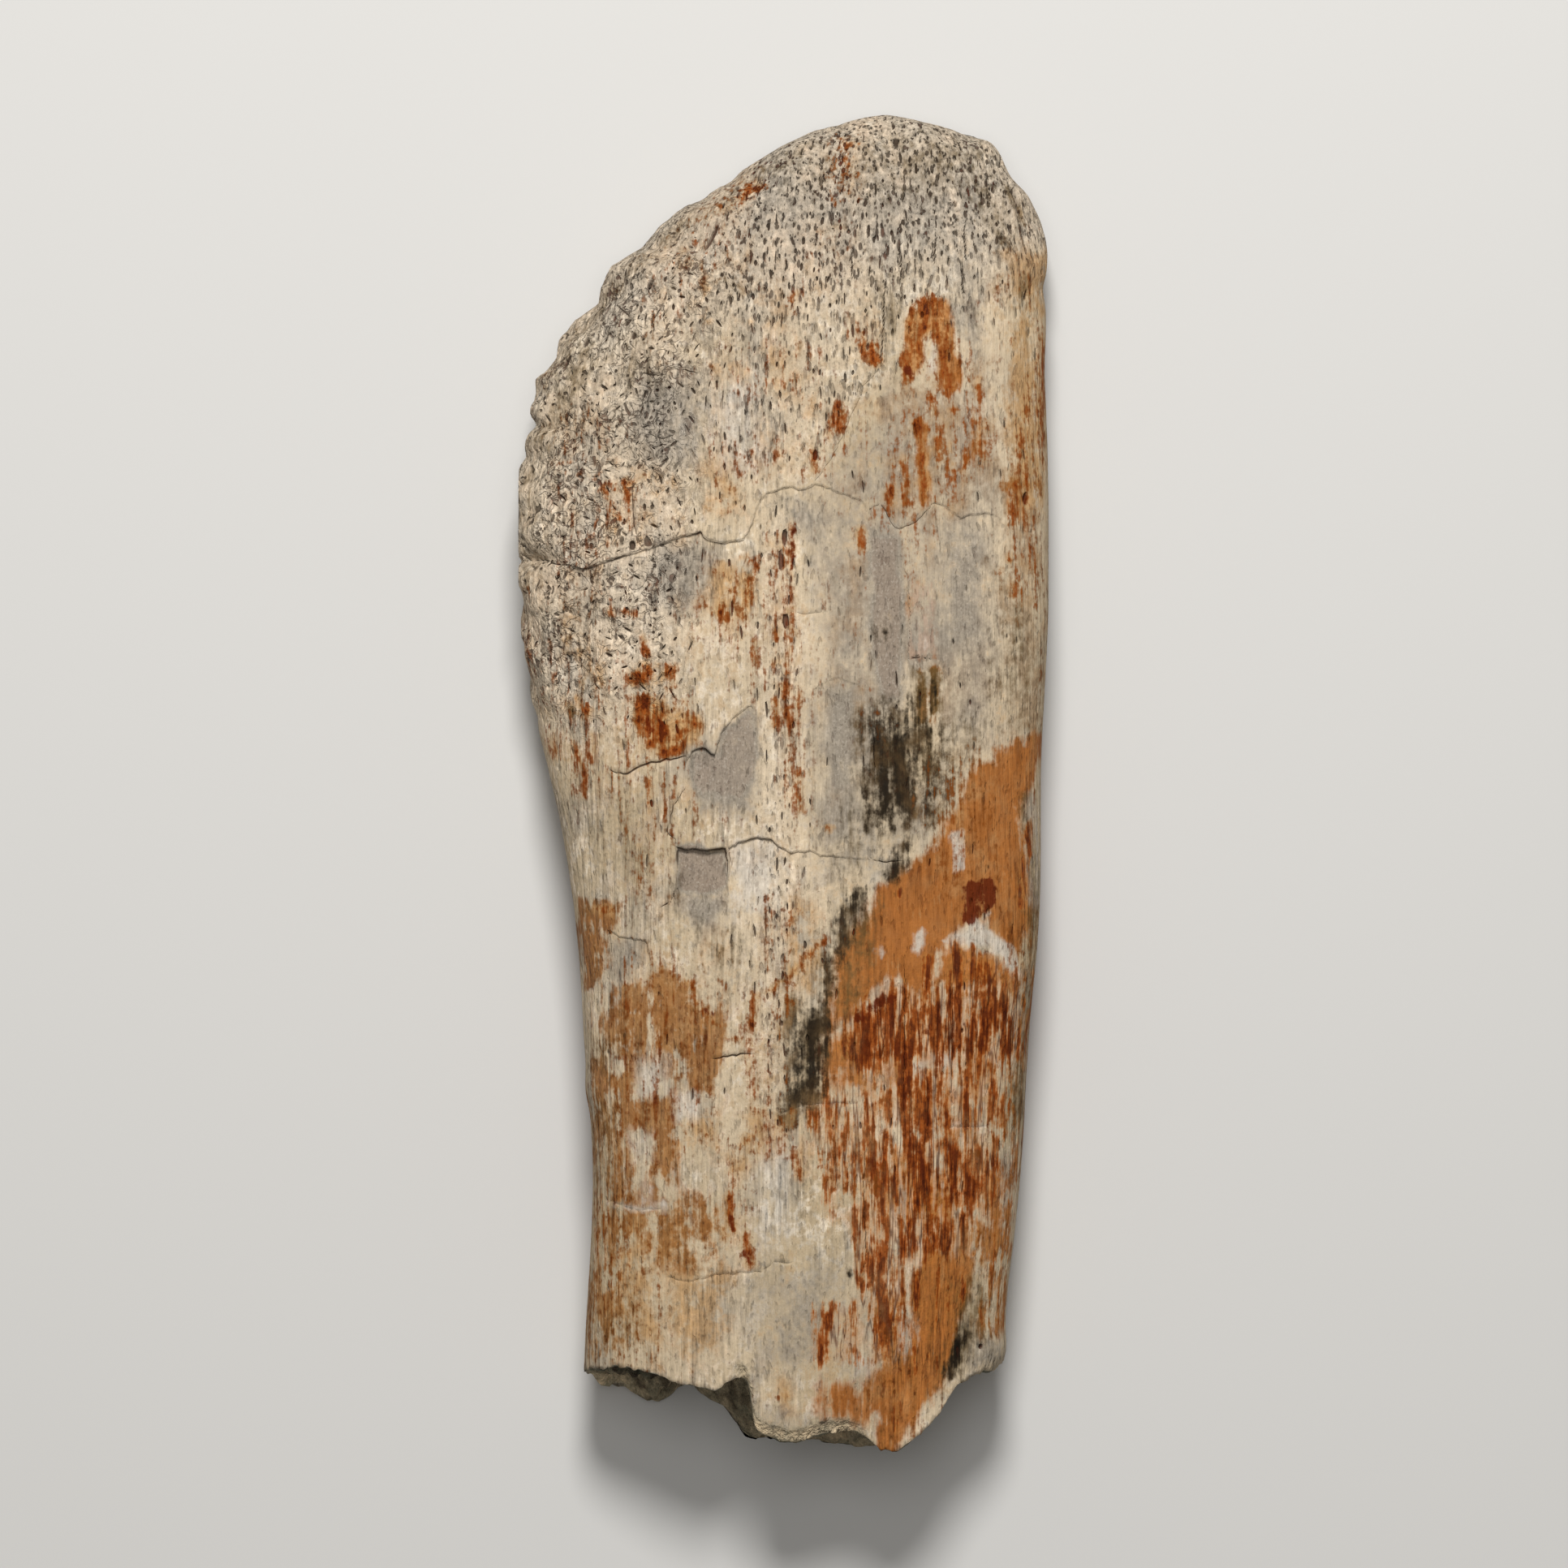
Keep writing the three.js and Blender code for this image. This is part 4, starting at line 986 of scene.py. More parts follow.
RUST = [
    area(0.75, 5, 1112, 442, 1117, 405, 1128, 378, 1146, 362, 1164, 364, 1173, 392, 1176, 430,
         1158, 430, 1150, 416, 1139, 418, 1137, 440, 1134, 462, 1118, 464),
    area(0.24, 20, 860, 520, 1050, 520, 1040, 600, 960, 600, 930, 640, 860, 650),
    area(0.26, 20, 735, 1120, 905, 1200, 905, 1420, 735, 1480),
    area(0.3, 14, 905, 1200, 995, 1200, 960, 1420, 905, 1420),
    area(0.3, 16, 1095, 470, 1150, 480, 1225, 470, 1235, 560, 1185, 640, 1100, 640, 1085, 560),
    area(0.33, 8, 938, 650, 980, 650, 990, 800, 995, 1000, 960, 1000, 950, 860, 935, 720),
    area(0.44, 9, 775, 855, 850, 860, 865, 920, 800, 940, 775, 900),
    area(0.3, 12, 670, 890, 755, 890, 755, 990, 695, 990),
    area(0.34, 10, 1245, 480, 1288, 420, 1288, 760, 1245, 740),
    area(0.34, 10, 735, 585, 800, 585, 800, 660, 740, 650),
    area(0.36, 8, 1040, 380, 1085, 390, 1085, 450, 1045, 450),
    area(0.34, 12, 885, 1390, 930, 1400, 935, 1560, 890, 1550),
    area(0.3, 14, 925, 1100, 1000, 1100, 990, 1260, 920, 1260),
    area(0.3, 12, 1015, 150, 1065, 150, 1070, 260, 1010, 250),
    area(0.28, 14, 720, 1480, 800, 1490, 790, 1600, 720, 1660),
    area(0.4, 12, 880, 700, 935, 690, 930, 790, 880, 790),
    area(0.42, 12, 910, 1370, 980, 1365, 980, 1425, 910, 1432),
    box(0.24, 26, 860, 400, 1040, 520),
    *strokes(0.6, 4, (1135, 747)),
    *strokes(0.6, 6, (750, 752, 780, 757), (730, 912, 730, 942)),
    *strokes(0.6, 8, (680, 905, 684, 935), (980, 355, 975, 380)),
    *strokes(0.7, 3, (976, 724, 975, 783), (970, 764, 970, 829)),
    *strokes(0.7, 4, (842, 868, 848, 895)),
    *strokes(0.7, 5, (1246, 415), (932, 790, 932, 824), (982, 1415, 984, 1446), (745, 600, 760, 640),
             (770, 590, 775, 625)),
    *strokes(0.7, 6, (1268, 585, 1272, 600), (1286, 405, 1284, 540),
             (1030, 500, 1020, 540), (782, 1512)),
    *strokes(0.7, 7, (884, 758, 898, 762)),
    *strokes(0.7, 8, (1040, 167), (1040, 197)),
    *strokes(0.75, 2.5, (965, 660, 965, 714)),
    *strokes(0.75, 3, (976, 640, 976, 720)),
    *strokes(0.75, 4, (1171, 552, 1171, 592), (1203, 460, 1203, 484), (932, 684, 934, 705),
             (984, 852, 984, 872), (717, 947, 719, 983)),
    *strokes(0.75, 5, (1154, 545, 1155, 572), (953, 822), (932, 1226, 927, 1262), (1002, 1378),
             (984, 1118, 978, 1135), (1018, 1160, 985, 1190)),
    *strokes(0.75, 7, (828, 828, 830, 848)),
    *strokes(0.75, 8, (924, 720, 926, 748)),
    *strokes(0.8, 4, (953, 860, 955, 892), (800, 963, 801, 995), (852, 1212, 866, 1246, 888, 1260)),
    *strokes(0.8, 5, (1161, 434, 1162, 480), (1130, 520, 1134, 536), (1098, 596, 1099, 620),
             (1188, 560, 1187, 580), (1236, 704), (958, 772, 958, 790), (985, 950, 986, 1003),
             (1018, 1028), (983, 1191, 970, 1208, 944, 1218), (890, 1510, 892, 1532)),
    *strokes(0.8, 6, (1146, 492, 1148, 510), (1206, 530, 1204, 552), (1252, 716, 1250, 730),
             (968, 874, 970, 892), (820, 819, 835, 822), (912, 1410, 932, 1396),
             (734, 1122, 752, 1124)),
    *strokes(0.8, 9, (925, 222, 915, 240, 935, 228)),
    *strokes(0.85, 4, (1114, 560, 1114, 616), (794, 784, 798, 806), (709, 914, 712, 943)),
    *strokes(0.85, 5, (1061, 405, 1062, 430), (1246, 682), (1003, 560, 1003, 578),
             (917, 680, 921, 691), (965, 844, 965, 862)),
    *strokes(0.85, 6, (1122, 400, 1118, 440), (1172, 465, 1168, 488), (1172, 507),
             (780, 868, 800, 866), (906, 1278), (898, 1470, 900, 1510)),
    *strokes(0.85, 7, (1252, 600, 1250, 640)),
    *strokes(0.85, 8, (1198, 512, 1208, 516), (718, 876)),
    *strokes(0.85, 9, (812, 885, 826, 915)),
    *strokes(0.9, 4, (1036, 494, 1036, 530)),
    *strokes(0.9, 5, (1137, 552, 1137, 612)),
    *strokes(0.9, 6, (966, 1719)),
    *strokes(0.9, 7, (1264, 504), (916, 1522, 924, 1550)),
    *strokes(0.9, 8, (848, 898, 860, 896)),
    *strokes(0.9, 9, (792, 870, 802, 900)),
    *strokes(0.95, 5, (1061, 654, 1060, 677)),
    *strokes(0.95, 7, (1074, 432, 1080, 446)),
    *strokes(0.95, 8, (818, 928, 832, 924)),
    *strokes(0.95, 9, (780, 836, 800, 826)),
    *strokes(1.0, 8, (1116, 442, 1122, 462)),
    *strokes(1.2, 3, (852, 886, 853, 902)),
    *strokes(1.3, 3, (790, 868, 791, 905), (807, 880, 808, 918), (836, 890, 838, 915)),
    *strokes(1.3, 5, (719, 876)),
    *strokes(1.4, 5, (854, 892), (788, 888), (803, 914)),
    *strokes(1.6, 5, (786, 831), (800, 866, 798, 874), (818, 896, 818, 908), (825, 930, 832, 927)),
]
MAROON = [
    area(1.0, 2.5, 1184, 1132, 1186, 1096, 1194, 1081, 1208, 1082, 1209, 1122, 1198, 1138),
    area(1.0, 2.5, 1208, 1082, 1220, 1079, 1227, 1092, 1226, 1112, 1212, 1120),
    *strokes(0.6, 3, (976, 645, 976, 700)),
    *strokes(0.7, 10, (1176, 1463)),
    *strokes(0.75, 3, (866, 1246, 885, 1258)),
    *strokes(0.75, 7, (1140, 1268)),
    *strokes(0.75, 8, (1060, 1255, 1100, 1230)),
    *strokes(0.8, 5, (900, 1500, 902, 1512), (918, 1540, 922, 1550)),
    *strokes(0.85, 5, (818, 895, 820, 905)),
    *strokes(0.85, 6, (797, 888, 801, 905)),
    *strokes(1.0, 6, (1119, 458, 1124, 464)),
]
OCHRE = [
    area(0.35, 14, 873, 430, 923, 430, 925, 483, 880, 485),
    area(0.4, 16, 857, 500, 925, 497, 1000, 520, 1010, 590, 940, 600, 915, 630, 862, 640),
    area(0.5, 26, 740, 560, 850, 570, 850, 660, 760, 680),
    area(0.3, 20, 840, 300, 960, 300, 1000, 380, 900, 420, 840, 400),
    area(0.8, 22, 1240, 300, 1294, 300, 1294, 900, 1245, 900, 1236, 600),
    area(0.6, 24, 1095, 460, 1225, 450, 1235, 600, 1190, 650, 1095, 650),
    area(0.7, 30, 722, 1480, 900, 1480, 890, 1672, 722, 1672),
    area(0.8, 13, 868, 715, 900, 700, 940, 705, 940, 765, 900, 778, 868, 760),
    area(0.9, 12, 777, 868, 830, 862, 862, 890, 855, 930, 800, 935, 780, 905),
    area(0.7, 9, 772, 815, 836, 812, 838, 852, 775, 846),
    area(0.8, 14, 905, 1365, 985, 1360, 985, 1430, 905, 1438),
    box(0.3, 40, 1140, 620, 1240, 880),
    box(0.62, 20, 1145, 800, 1215, 880),
    box(0.5, 16, 825, 1365, 905, 1430),
    *strokes(0.4, 30, (720, 760, 735, 850)),
    *strokes(0.4, 40, (890, 1180, 860, 1120)),
    *strokes(0.45, 26, (1000, 1210, 1000, 1120)),
    *strokes(0.45, 30, (1190, 830, 1230, 850)),
    *strokes(0.5, 20, (985, 1385, 990, 1440)),
    *strokes(0.5, 24, (960, 440, 990, 500), (960, 340, 970, 400)),
    *strokes(0.65, 26, (890, 575, 900, 625)),
    *strokes(0.7, 16, (1070, 505, 1092, 512)),
    *strokes(0.75, 5, (983, 1191, 970, 1208, 944, 1218)),
    *strokes(0.8, 5, (946, 619)),
    *strokes(0.8, 11, (1053, 690, 1054, 762)),
    *strokes(0.8, 12, (962, 1700, 972, 1745)),
]
GREY = [
    area(0.6, 50, 930, 170, 1060, 140, 1230, 160, 1290, 260, 1230, 350, 1060, 330, 980, 380,
         880, 320, 760, 380, 820, 270),
    area(0.75, 16, 786, 462, 868, 456, 866, 540, 850, 590, 790, 575, 765, 530),
    area(0.4, 24, 680, 480, 780, 440, 780, 600, 690, 600),
    area(1.0, 8, 1068, 640, 1118, 660, 1120, 865, 1080, 880, 1064, 780),
    area(0.85, 14, 1008, 842, 1062, 840, 1066, 930, 1045, 1000, 1010, 960),
    area(0.75, 14, 1155, 636, 1221, 640, 1221, 806, 1155, 806),
    area(0.62, 26, 1000, 610, 1240, 600, 1245, 900, 1190, 960, 1130, 830, 1100, 1000, 1000, 990),
    area(0.6, 22, 1092, 470, 1230, 440, 1240, 640, 1000, 640, 985, 600),
    area(0.62, 24, 1000, 930, 1130, 950, 1170, 1000, 1080, 1090, 1000, 1100),
    area(0.96, 4, 845, 938, 852, 926, 867, 920, 880, 930, 889, 900, 910, 878, 928, 870, 934, 883,
         939, 922, 936, 960, 915, 985, 862, 985, 848, 965),
    area(1.1, 12, 850, 925, 880, 930, 890, 945, 885, 990, 858, 985, 846, 950),
    area(0.8, 12, 846, 960, 938, 955, 936, 985, 924, 1004, 862, 1002),
    area(1.15, 4, 834, 1044, 867, 1047, 896, 1046, 897, 1092, 866, 1100, 834, 1094),
    area(0.85, 12, 832, 1090, 898, 1088, 897, 1120, 884, 1146, 856, 1150, 832, 1120),
    area(0.7, 7, 744, 1150, 796, 1156, 800, 1190, 770, 1205, 746, 1205),
    area(0.75, 14, 800, 672, 870, 662, 876, 740, 850, 760, 806, 740),
    area(0.35, 30, 735, 960, 830, 1000, 830, 1110, 735, 1110),
    area(0.5, 20, 700, 700, 740, 690, 760, 760, 720, 800, 690, 760),
    area(0.6, 18, 940, 612, 1050, 612, 1060, 655, 1010, 665, 960, 650),
    area(0.65, 30, 930, 1540, 1040, 1560, 1060, 1700, 930, 1690),
    area(0.6, 10, 727, 1335, 744, 1345, 742, 1415, 728, 1410),
    area(0.7, 12, 1196, 1655, 1236, 1640, 1236, 1690, 1196, 1690),
    area(0.5, 12, 1245, 1190, 1285, 1180, 1270, 1330, 1245, 1330),
    area(0.6, 14, 900, 1725, 950, 1725, 1060, 1762, 1060, 1795, 930, 1790),
    box(0.66, 30, 1236, 640, 1292, 900),
    *strokes(0.6, 14, (1192, 320, 1196, 400, 1204, 470)),
]
PALE = [
    area(0.8, 12, 900, 1042, 955, 1036, 962, 1060, 960, 1110, 905, 1125),
    area(0.95, 4, 1170, 1025, 1186, 1023, 1188, 1076, 1174, 1078),
    area(0.6, 5, 1139, 420, 1152, 420, 1156, 462, 1140, 466),
    area(0.6, 12, 1266, 985, 1290, 985, 1290, 1110, 1272, 1110),
    area(1.0, 3.5, 1160, 1158, 1188, 1141, 1205, 1131, 1219, 1146, 1236, 1163, 1253, 1182,
         1262, 1205, 1250, 1208, 1236, 1184, 1219, 1170, 1194, 1164, 1174, 1166),
    area(0.95, 3.5, 1124, 1147, 1136, 1147, 1136, 1171, 1125, 1170),
    area(0.75, 8, 1163, 1223, 1182, 1223, 1185, 1281, 1168, 1290),
    area(0.85, 7, 1145, 1294, 1177, 1292, 1175, 1314, 1147, 1316),
    area(0.75, 7, 1119, 1305, 1141, 1305, 1140, 1327, 1120, 1327),
    area(0.75, 7, 1084, 1246, 1108, 1246, 1104, 1284, 1086, 1284),
    area(0.7, 8, 1049, 1668, 1072, 1668, 1072, 1692, 1050, 1692),
    area(0.75, 9, 783, 1300, 822, 1300, 824, 1350, 785, 1350),
    area(0.7, 6, 752, 1301, 769, 1301, 769, 1318, 753, 1318),
    area(0.7, 8, 779, 1391, 804, 1391, 804, 1432, 780, 1432),
    area(0.8, 6, 831, 1350, 866, 1350, 866, 1381, 832, 1381),
    area(0.6, 9, 783, 1458, 799, 1458, 799, 1484, 785, 1484),
    box(0.45, 24, 830, 490, 975, 550),
    box(0.35, 24, 905, 405, 975, 475),
    box(0.4, 5, 1120, 715, 1152, 809),
    *strokes(0.5, 30, (960, 1400, 950, 1500)),
    *strokes(0.6, 4, (746, 1479, 781, 1490, 822, 1488), (966, 1370, 992, 1361, 1053, 1359),
             (1172, 1389, 1216, 1389)),
    *strokes(0.65, 7, (1081, 1176)),
    *strokes(0.7, 8, (1112, 1632, 1110, 1660)),
    *strokes(0.7, 30, (905, 500, 915, 560)),
    *strokes(0.85, 8, (1130, 1534)),
    *strokes(0.9, 4, (1219, 1123)),
]
SMOOTH = [
    area(0.8, 22, 1000, 940, 1120, 930, 1160, 1000, 1060, 1100, 1010, 1110),
    area(1.0, 16, 1092, 460, 1200, 440, 1262, 300, 1294, 300, 1294, 905, 1180, 980, 1110, 880,
         1062, 940, 1005, 960, 1000, 660, 980, 605, 1030, 570, 1060, 500),
    area(0.8, 12, 843, 930, 932, 872, 934, 990, 850, 996),
    area(0.8, 10, 834, 1046, 896, 1046, 890, 1140, 830, 1112),
    area(0.9, 20, 1290, 905, 1160, 1013, 1020, 1200, 1020, 1260, 1112, 1200, 1200, 1130, 1265, 1160),
    area(0.8, 26, 940, 1540, 1060, 1560, 1060, 1720, 920, 1690),
]
FACE_STAINS_AND_SHADE = {
    "smooth": SMOOTH,
    "orange": ORANGE_WASH, "streak": DARK_STREAKS, "black": BLACK, "olive_and_shade": OLIVE_AND_SHADE, "brown": BROWN_WASH,
    "rust": RUST, "maroon": MAROON, "ochre": OCHRE, "grey": GREY, "pale": PALE,
}

# The back has stains of its own, which go on from those of the two edges.
BACK_STAINS = {
    "smooth": [
        *strokes(0.6, 60, (1000, 900, 980, 1400)),
    ],
    "orange": [
        area(0.9, 20, 1310, 900, 1200, 960, 1120, 1130, 1150, 1300, 1230, 1340, 1310, 1350),
        area(0.7, 26, 860, 1480, 960, 1440, 1010, 1560, 960, 1700, 860, 1660),
    ],
    "streak": [
        area(0.6, 26, 1120, 1130, 1240, 1100, 1250, 1400, 1180, 1560, 1080, 1460),
        area(0.56, 30, 780, 900, 900, 860, 940, 1060, 860, 1160, 790, 1060),
    ],
    "black": [
        area(0.8, 24, 930, 1180, 1000, 1140, 1030, 1260, 980, 1340, 930, 1290),
        *strokes(0.75, 18, (800, 560, 840, 640)),
    ],
    "olive_and_shade": [
        *strokes(0.7, 40, (900, 1140, 960, 1240, 980, 1360)),
    ],
    "brown": [
        area(0.85, 22, 690, 1116, 780, 1130, 820, 1240, 850, 1400, 800, 1560, 690, 1590),
        *strokes(0.6, 50, (1080, 420, 1120, 560)),
    ],
    "rust": [
        *strokes(0.7, 12, (900, 420, 930, 480)),
        *strokes(0.7, 14, (1180, 520, 1190, 640)),
        *strokes(0.75, 16, (760, 800, 800, 900)),
        *strokes(0.8, 12, (1000, 700, 1010, 820)),
    ],
    "maroon": [
        *strokes(0.75, 8, (1008, 740, 1012, 790)),
    ],
    "ochre": [
        area(0.7, 60, 700, 650, 960, 600, 1000, 900, 760, 1050),
        *strokes(0.6, 60, (1050, 1500, 1100, 1650)),
    ],
    "grey": [
        area(0.75, 60, 860, 150, 1290, 150, 1290, 420, 1000, 500, 700, 480),
        area(0.7, 40, 1040, 560, 1290, 600, 1280, 860, 1100, 960),
    ],
    "pale": [
        *strokes(0.7, 50, (1060, 1000, 1040, 1100)),
    ],
}


def near_route(x, y, route):
    """Distance from each place to a route."""
    best = np.hypot(x - route[0, 0], y - route[0, 1])
    for (x1, y1), (x2, y2) in zip(route[:-1], route[1:]):
        dx = x2 - x1
        dy = y2 - y1
        share = np.clip(((x - x1) * dx + (y - y1) * dy) / (dx * dx + dy * dy), 0, 1)
        best = np.minimum(best, np.hypot(x - x1 - share * dx, y - y1 - share * dy))
    return best


def stain_and_shade_density(shapes, px, py):
    """How thickly a stain lies at each place, where one half is the edge of a stained area. Some of the
    shapes are painted shade.
    """
    result = np.zeros(len(px))
    for density, radius, softness, route in shapes:
        softness = softness if radius else softness * 1.5
        margin = softness * 2 + (radius or 0)
        low = route.min(axis=0) - margin
        high = route.max(axis=0) + margin
        index = np.flatnonzero((px > low[0]) & (px < high[0]) & (py > low[1]) & (py < high[1]))
        x = px[index]
        y = py[index]
        if radius is None:
            gap = near_route(x, y, np.vstack([route, route[:1]]))
            depth = np.where(inside(x, y, route), gap, -gap)
        else:
            depth = radius - near_route(x, y, route)
        result[index] = np.maximum(result[index], density * np.clip(0.5 + depth / (2 * softness), 0, 1))
    return result


# ---- The mesh ----
def triangulated(flat, border_count, edges):
    """Points and triangles inside the border that the first points make; new points come last."""
    x, y = flat[:border_count].T
    turning = np.sum(x * np.roll(y, -1) - np.roll(x, -1) * y)
    border_face = [list(range(border_count))[:: 1 if turning > 0 else -1]]
    places, _, faces, origins, _, owners = delaunay_2d_cdt(
        [Vector(place) for place in flat], edges, border_face, 0, 1e-6, True
    )
    fresh = [k for k, origin in enumerate(origins) if not origin]
    number = np.array([origin[0] if origin else -1 for origin in origins])
    number[fresh] = len(flat) + np.arange(len(fresh))
    kept = [face for face, owner in zip(faces, owners) if owner]
    added = np.array([places[k] for k in fresh]).reshape(-1, 2)
    return np.vstack([flat, added]), number[np.array(kept)]


def rolled_mesh():
    """Base places, triangles, sheet places of the triangles' corners, and what each point carries."""
    flat = np.vstack([border, inner_points[:, :2]])
    flat, triangles = triangulated(flat, len(border), (inner_edges + len(border)).tolist())
    weld = np.arange(len(flat))
    weld[len(rim_across) - 1] = 0
    first_right = len(rim_across)
    first_left = first_right + len(right_seam)
    weld[first_left : first_left + len(left_seam)] = np.arange(first_left - 2, first_right - 1, -1)
    used = np.unique(weld)
    renumber = np.zeros(len(flat), int)
    renumber[used] = np.arange(len(used))
    corners = renumber[weld[triangles]]
    places, shares = sheet.rolled(*flat.T)
    carried = np.zeros((len(flat), 2))
    carried[len(border) : len(border) + len(inner_points)] = inner_points[:, 2:]
    return places[used], corners, flat[triangles], shares[used], carried[used]


def point_normals(places, triangles):
    a, b, c = (places[triangles[:, k]] for k in range(3))
    face = np.cross(b - a, c - a)
    normals = np.zeros_like(places)
    for k in range(3):
        np.add.at(normals, triangles[:, k], face)
    return normals / np.maximum(np.linalg.norm(normals, axis=1), 1e-12)[:, None]


def core_mesh(rim_places):
    """The broken face: new points inside the rim and triangles that join them to it."""
    ring = rim_places[:, [0, 2]]
    low = ring.min(axis=0)
    high = ring.max(axis=0)
    columns = np.arange(low[0], high[0], CORE_SPACING)
    rows = np.arange(low[1], high[1], CORE_SPACING * TRIANGLE_ROW)
    x, z = np.meshgrid(columns, rows)
    x = x + (np.arange(len(rows)) % 2)[:, None] * CORE_SPACING / 2
    spots = np.stack([x.ravel(), z.ravel()], axis=1)
    spots += rng.uniform(-0.15, 0.15, spots.shape) * CORE_SPACING
    spots = spots[inside(*spots.T, ring)]
    spots = spots[near_route(*spots.T, np.vstack([ring, ring[:1]])) > CORE_MARGIN]
    _, corners = triangulated(np.vstack([ring, spots]), len(ring), [])
    return spots, corners


def core_places(spots, wall):
    """Places of the broken face, with how spongy it is, its sponge, and its ledge."""
    x, z = spots.T
    level = np.stack([x, np.full(len(x), float(BREAK_LEVEL)), z], axis=1)
    # The lower wall, which is paler in colour as painted light; the face above it keeps a darker
    # colour, partly as painted shade of the hollow under the front wall.
    ledge = smoothstep(mid_level(BREAK_LEVEL) - z, -1.5, 5)
    spongy = smoothstep(wall, 0.7, 2.6)
    rough = layered_noise(level, [(3.2, 0.6), (1.2, 0.5)], seed=4.0)
    sponge = layered_noise(level, [(1.1, 0.7), (0.6, 0.5)], seed=9.0)
    hollow = 1.8 * smoothstep(wall, 0.8, 2.4) * (0.6 + rough)
    boulders = layered_noise(level, [(4.0, 1.0), (1.8, 0.6)], seed=15.0)
    boulders *= 1.5 * ledge * (1 - smoothstep(x, -5, 2))
    rise = 0.6 * rough + hollow + boulders + 1.1 * spongy * np.maximum(sponge, -0.2)
    y = break_at(x, z) + smoothstep(wall, 0, 0.8) * rise
    # The ledge's painted light: it is palest at its left end, and paler again right of the blade's
    # middle.
    ledge *= 0.65 + 0.65 * (1 - smoothstep(x, -19, -16.5)) + 0.35 * smoothstep(x, -6, 0)
    return np.stack([x, y, z], axis=1), spongy, sponge, ledge


# ---- The relief, in mm along the skin's normal ----
base, triangles, corner_sheet, shares, carried = rolled_mesh()
base_x, base_y, base_z = base.T
px, py = face_px(base_x, base_y)
on_face = 1 - smoothstep(shares, 0.5, 0.62)
rim_count = len(rim_across) - 1
carried_depth, carried_dark = carried.T

# Where a normal points into the blade, the way out from the blade's middle line takes its place.
normals = point_normals(base, triangles)
spine_y = np.clip(base_y, START, TIP[1] - 15)
spine = np.stack([(left_edge(spine_y) + right_edge(spine_y)) / 2, spine_y, mid_level(spine_y)], axis=1)
outwards = (base - spine) / np.linalg.norm(base - spine, axis=1)[:, None]
normals = np.where(((normals * outwards).sum(axis=1) < 0.1)[:, None], outwards, normals)

scar_depth = sum(scar.cut(base_x, base_y) for scar in scars) * on_face
face_porous, face_wild = face_pit_share(px, py)
porous = np.where(shares < 0.55, face_porous, porosity(base_x, base_y))
wild = face_wild * on_face
lumps = layered_noise(base, [(3.4, 0.6), (1.5, 0.4)], stretch=1.3)
ripples = layered_noise(base, [(1.6, 0.6), (0.8, 0.4)], stretch=12, seed=5.0)
swells = layered_noise(base, [(11.0, 1.0)], stretch=1.8, seed=11.0)
folds = 1 - 2.2 * np.abs(layered_noise(base, [(7.0, 0.5), (3.0, 0.5)], seed=50.0))
notches = np.zeros(len(base))
for notch_px, notch_py, across, along, depth in NOTCHES:
    notch_x, notch_y = face_mm(notch_px, notch_py)
    notches += depth * np.exp(-(((base_x - notch_x) / across) ** 2) - ((base_y - notch_y) / along) ** 2)
relief = wild * (WILD_LUMPS * lumps + WILD_FOLDS * folds) + POROUS_LUMPS * porous * lumps
relief += PLAIN_LUMPS * lumps + RIPPLES * ripples + SWELLS * swells - SKIN_DROP
relief -= scar_depth + carried_depth + notches

# The relief is weak next to the break, so that the rim keeps its line.
from_break = base_y - break_at(base_x, base_z)
rim_fade = lerp(RIM_RELIEF, 1, smoothstep(np.abs(from_break), 0, 1.0))
relief *= np.where(np.arange(len(base)) < rim_count, RIM_RELIEF, rim_fade)

# A long chip along the middle of the break's upper edge slopes down to it.
chip_height = CHIP_HEIGHT + 0.4 * layered_noise(base, [(3.0, 1.0)], seed=70.0)
chip = smoothstep(px, *CHIP_START) * (1 - smoothstep(px, *CHIP_END)) * on_face
chipped = chip * (1 - smoothstep(from_break, 0.75 * chip_height, 1.1 * chip_height))
# A dark line of painted shade at the foot of the chip's slope.
painted_crease_shade = chip * np.exp(-(((from_break - 0.7 * chip_height) / 0.35) ** 2)) * (0.5 + 0.5 * ripples)
relief -= chip * (1 - smoothstep(from_break, 0.2, chip_height))
blade = base + normals * relief[:, None]

# The broken face, and the two together.
rim_places = blade[:rim_count]
spots, core_triangles = core_mesh(rim_places)
wall = near_route(*spots.T, np.vstack([rim_places, rim_places[:1]])[:, [0, 2]])
core, spongy, sponge, ledge = core_places(spots, wall)
core_numbers = np.concatenate([np.arange(rim_count), len(blade) + np.arange(len(core))])
all_triangles = np.vstack([triangles, core_numbers[core_triangles]])
low, high = (np.array(corner) / MM for corner in CAD_BOX)
all_places = np.clip(np.vstack([blade, core]), low, high)


# ---- What each point carries for the colours ----
def on_all(blade_values, core_values=0.0):
    return np.concatenate([blade_values, np.broadcast_to(core_values, len(core))])


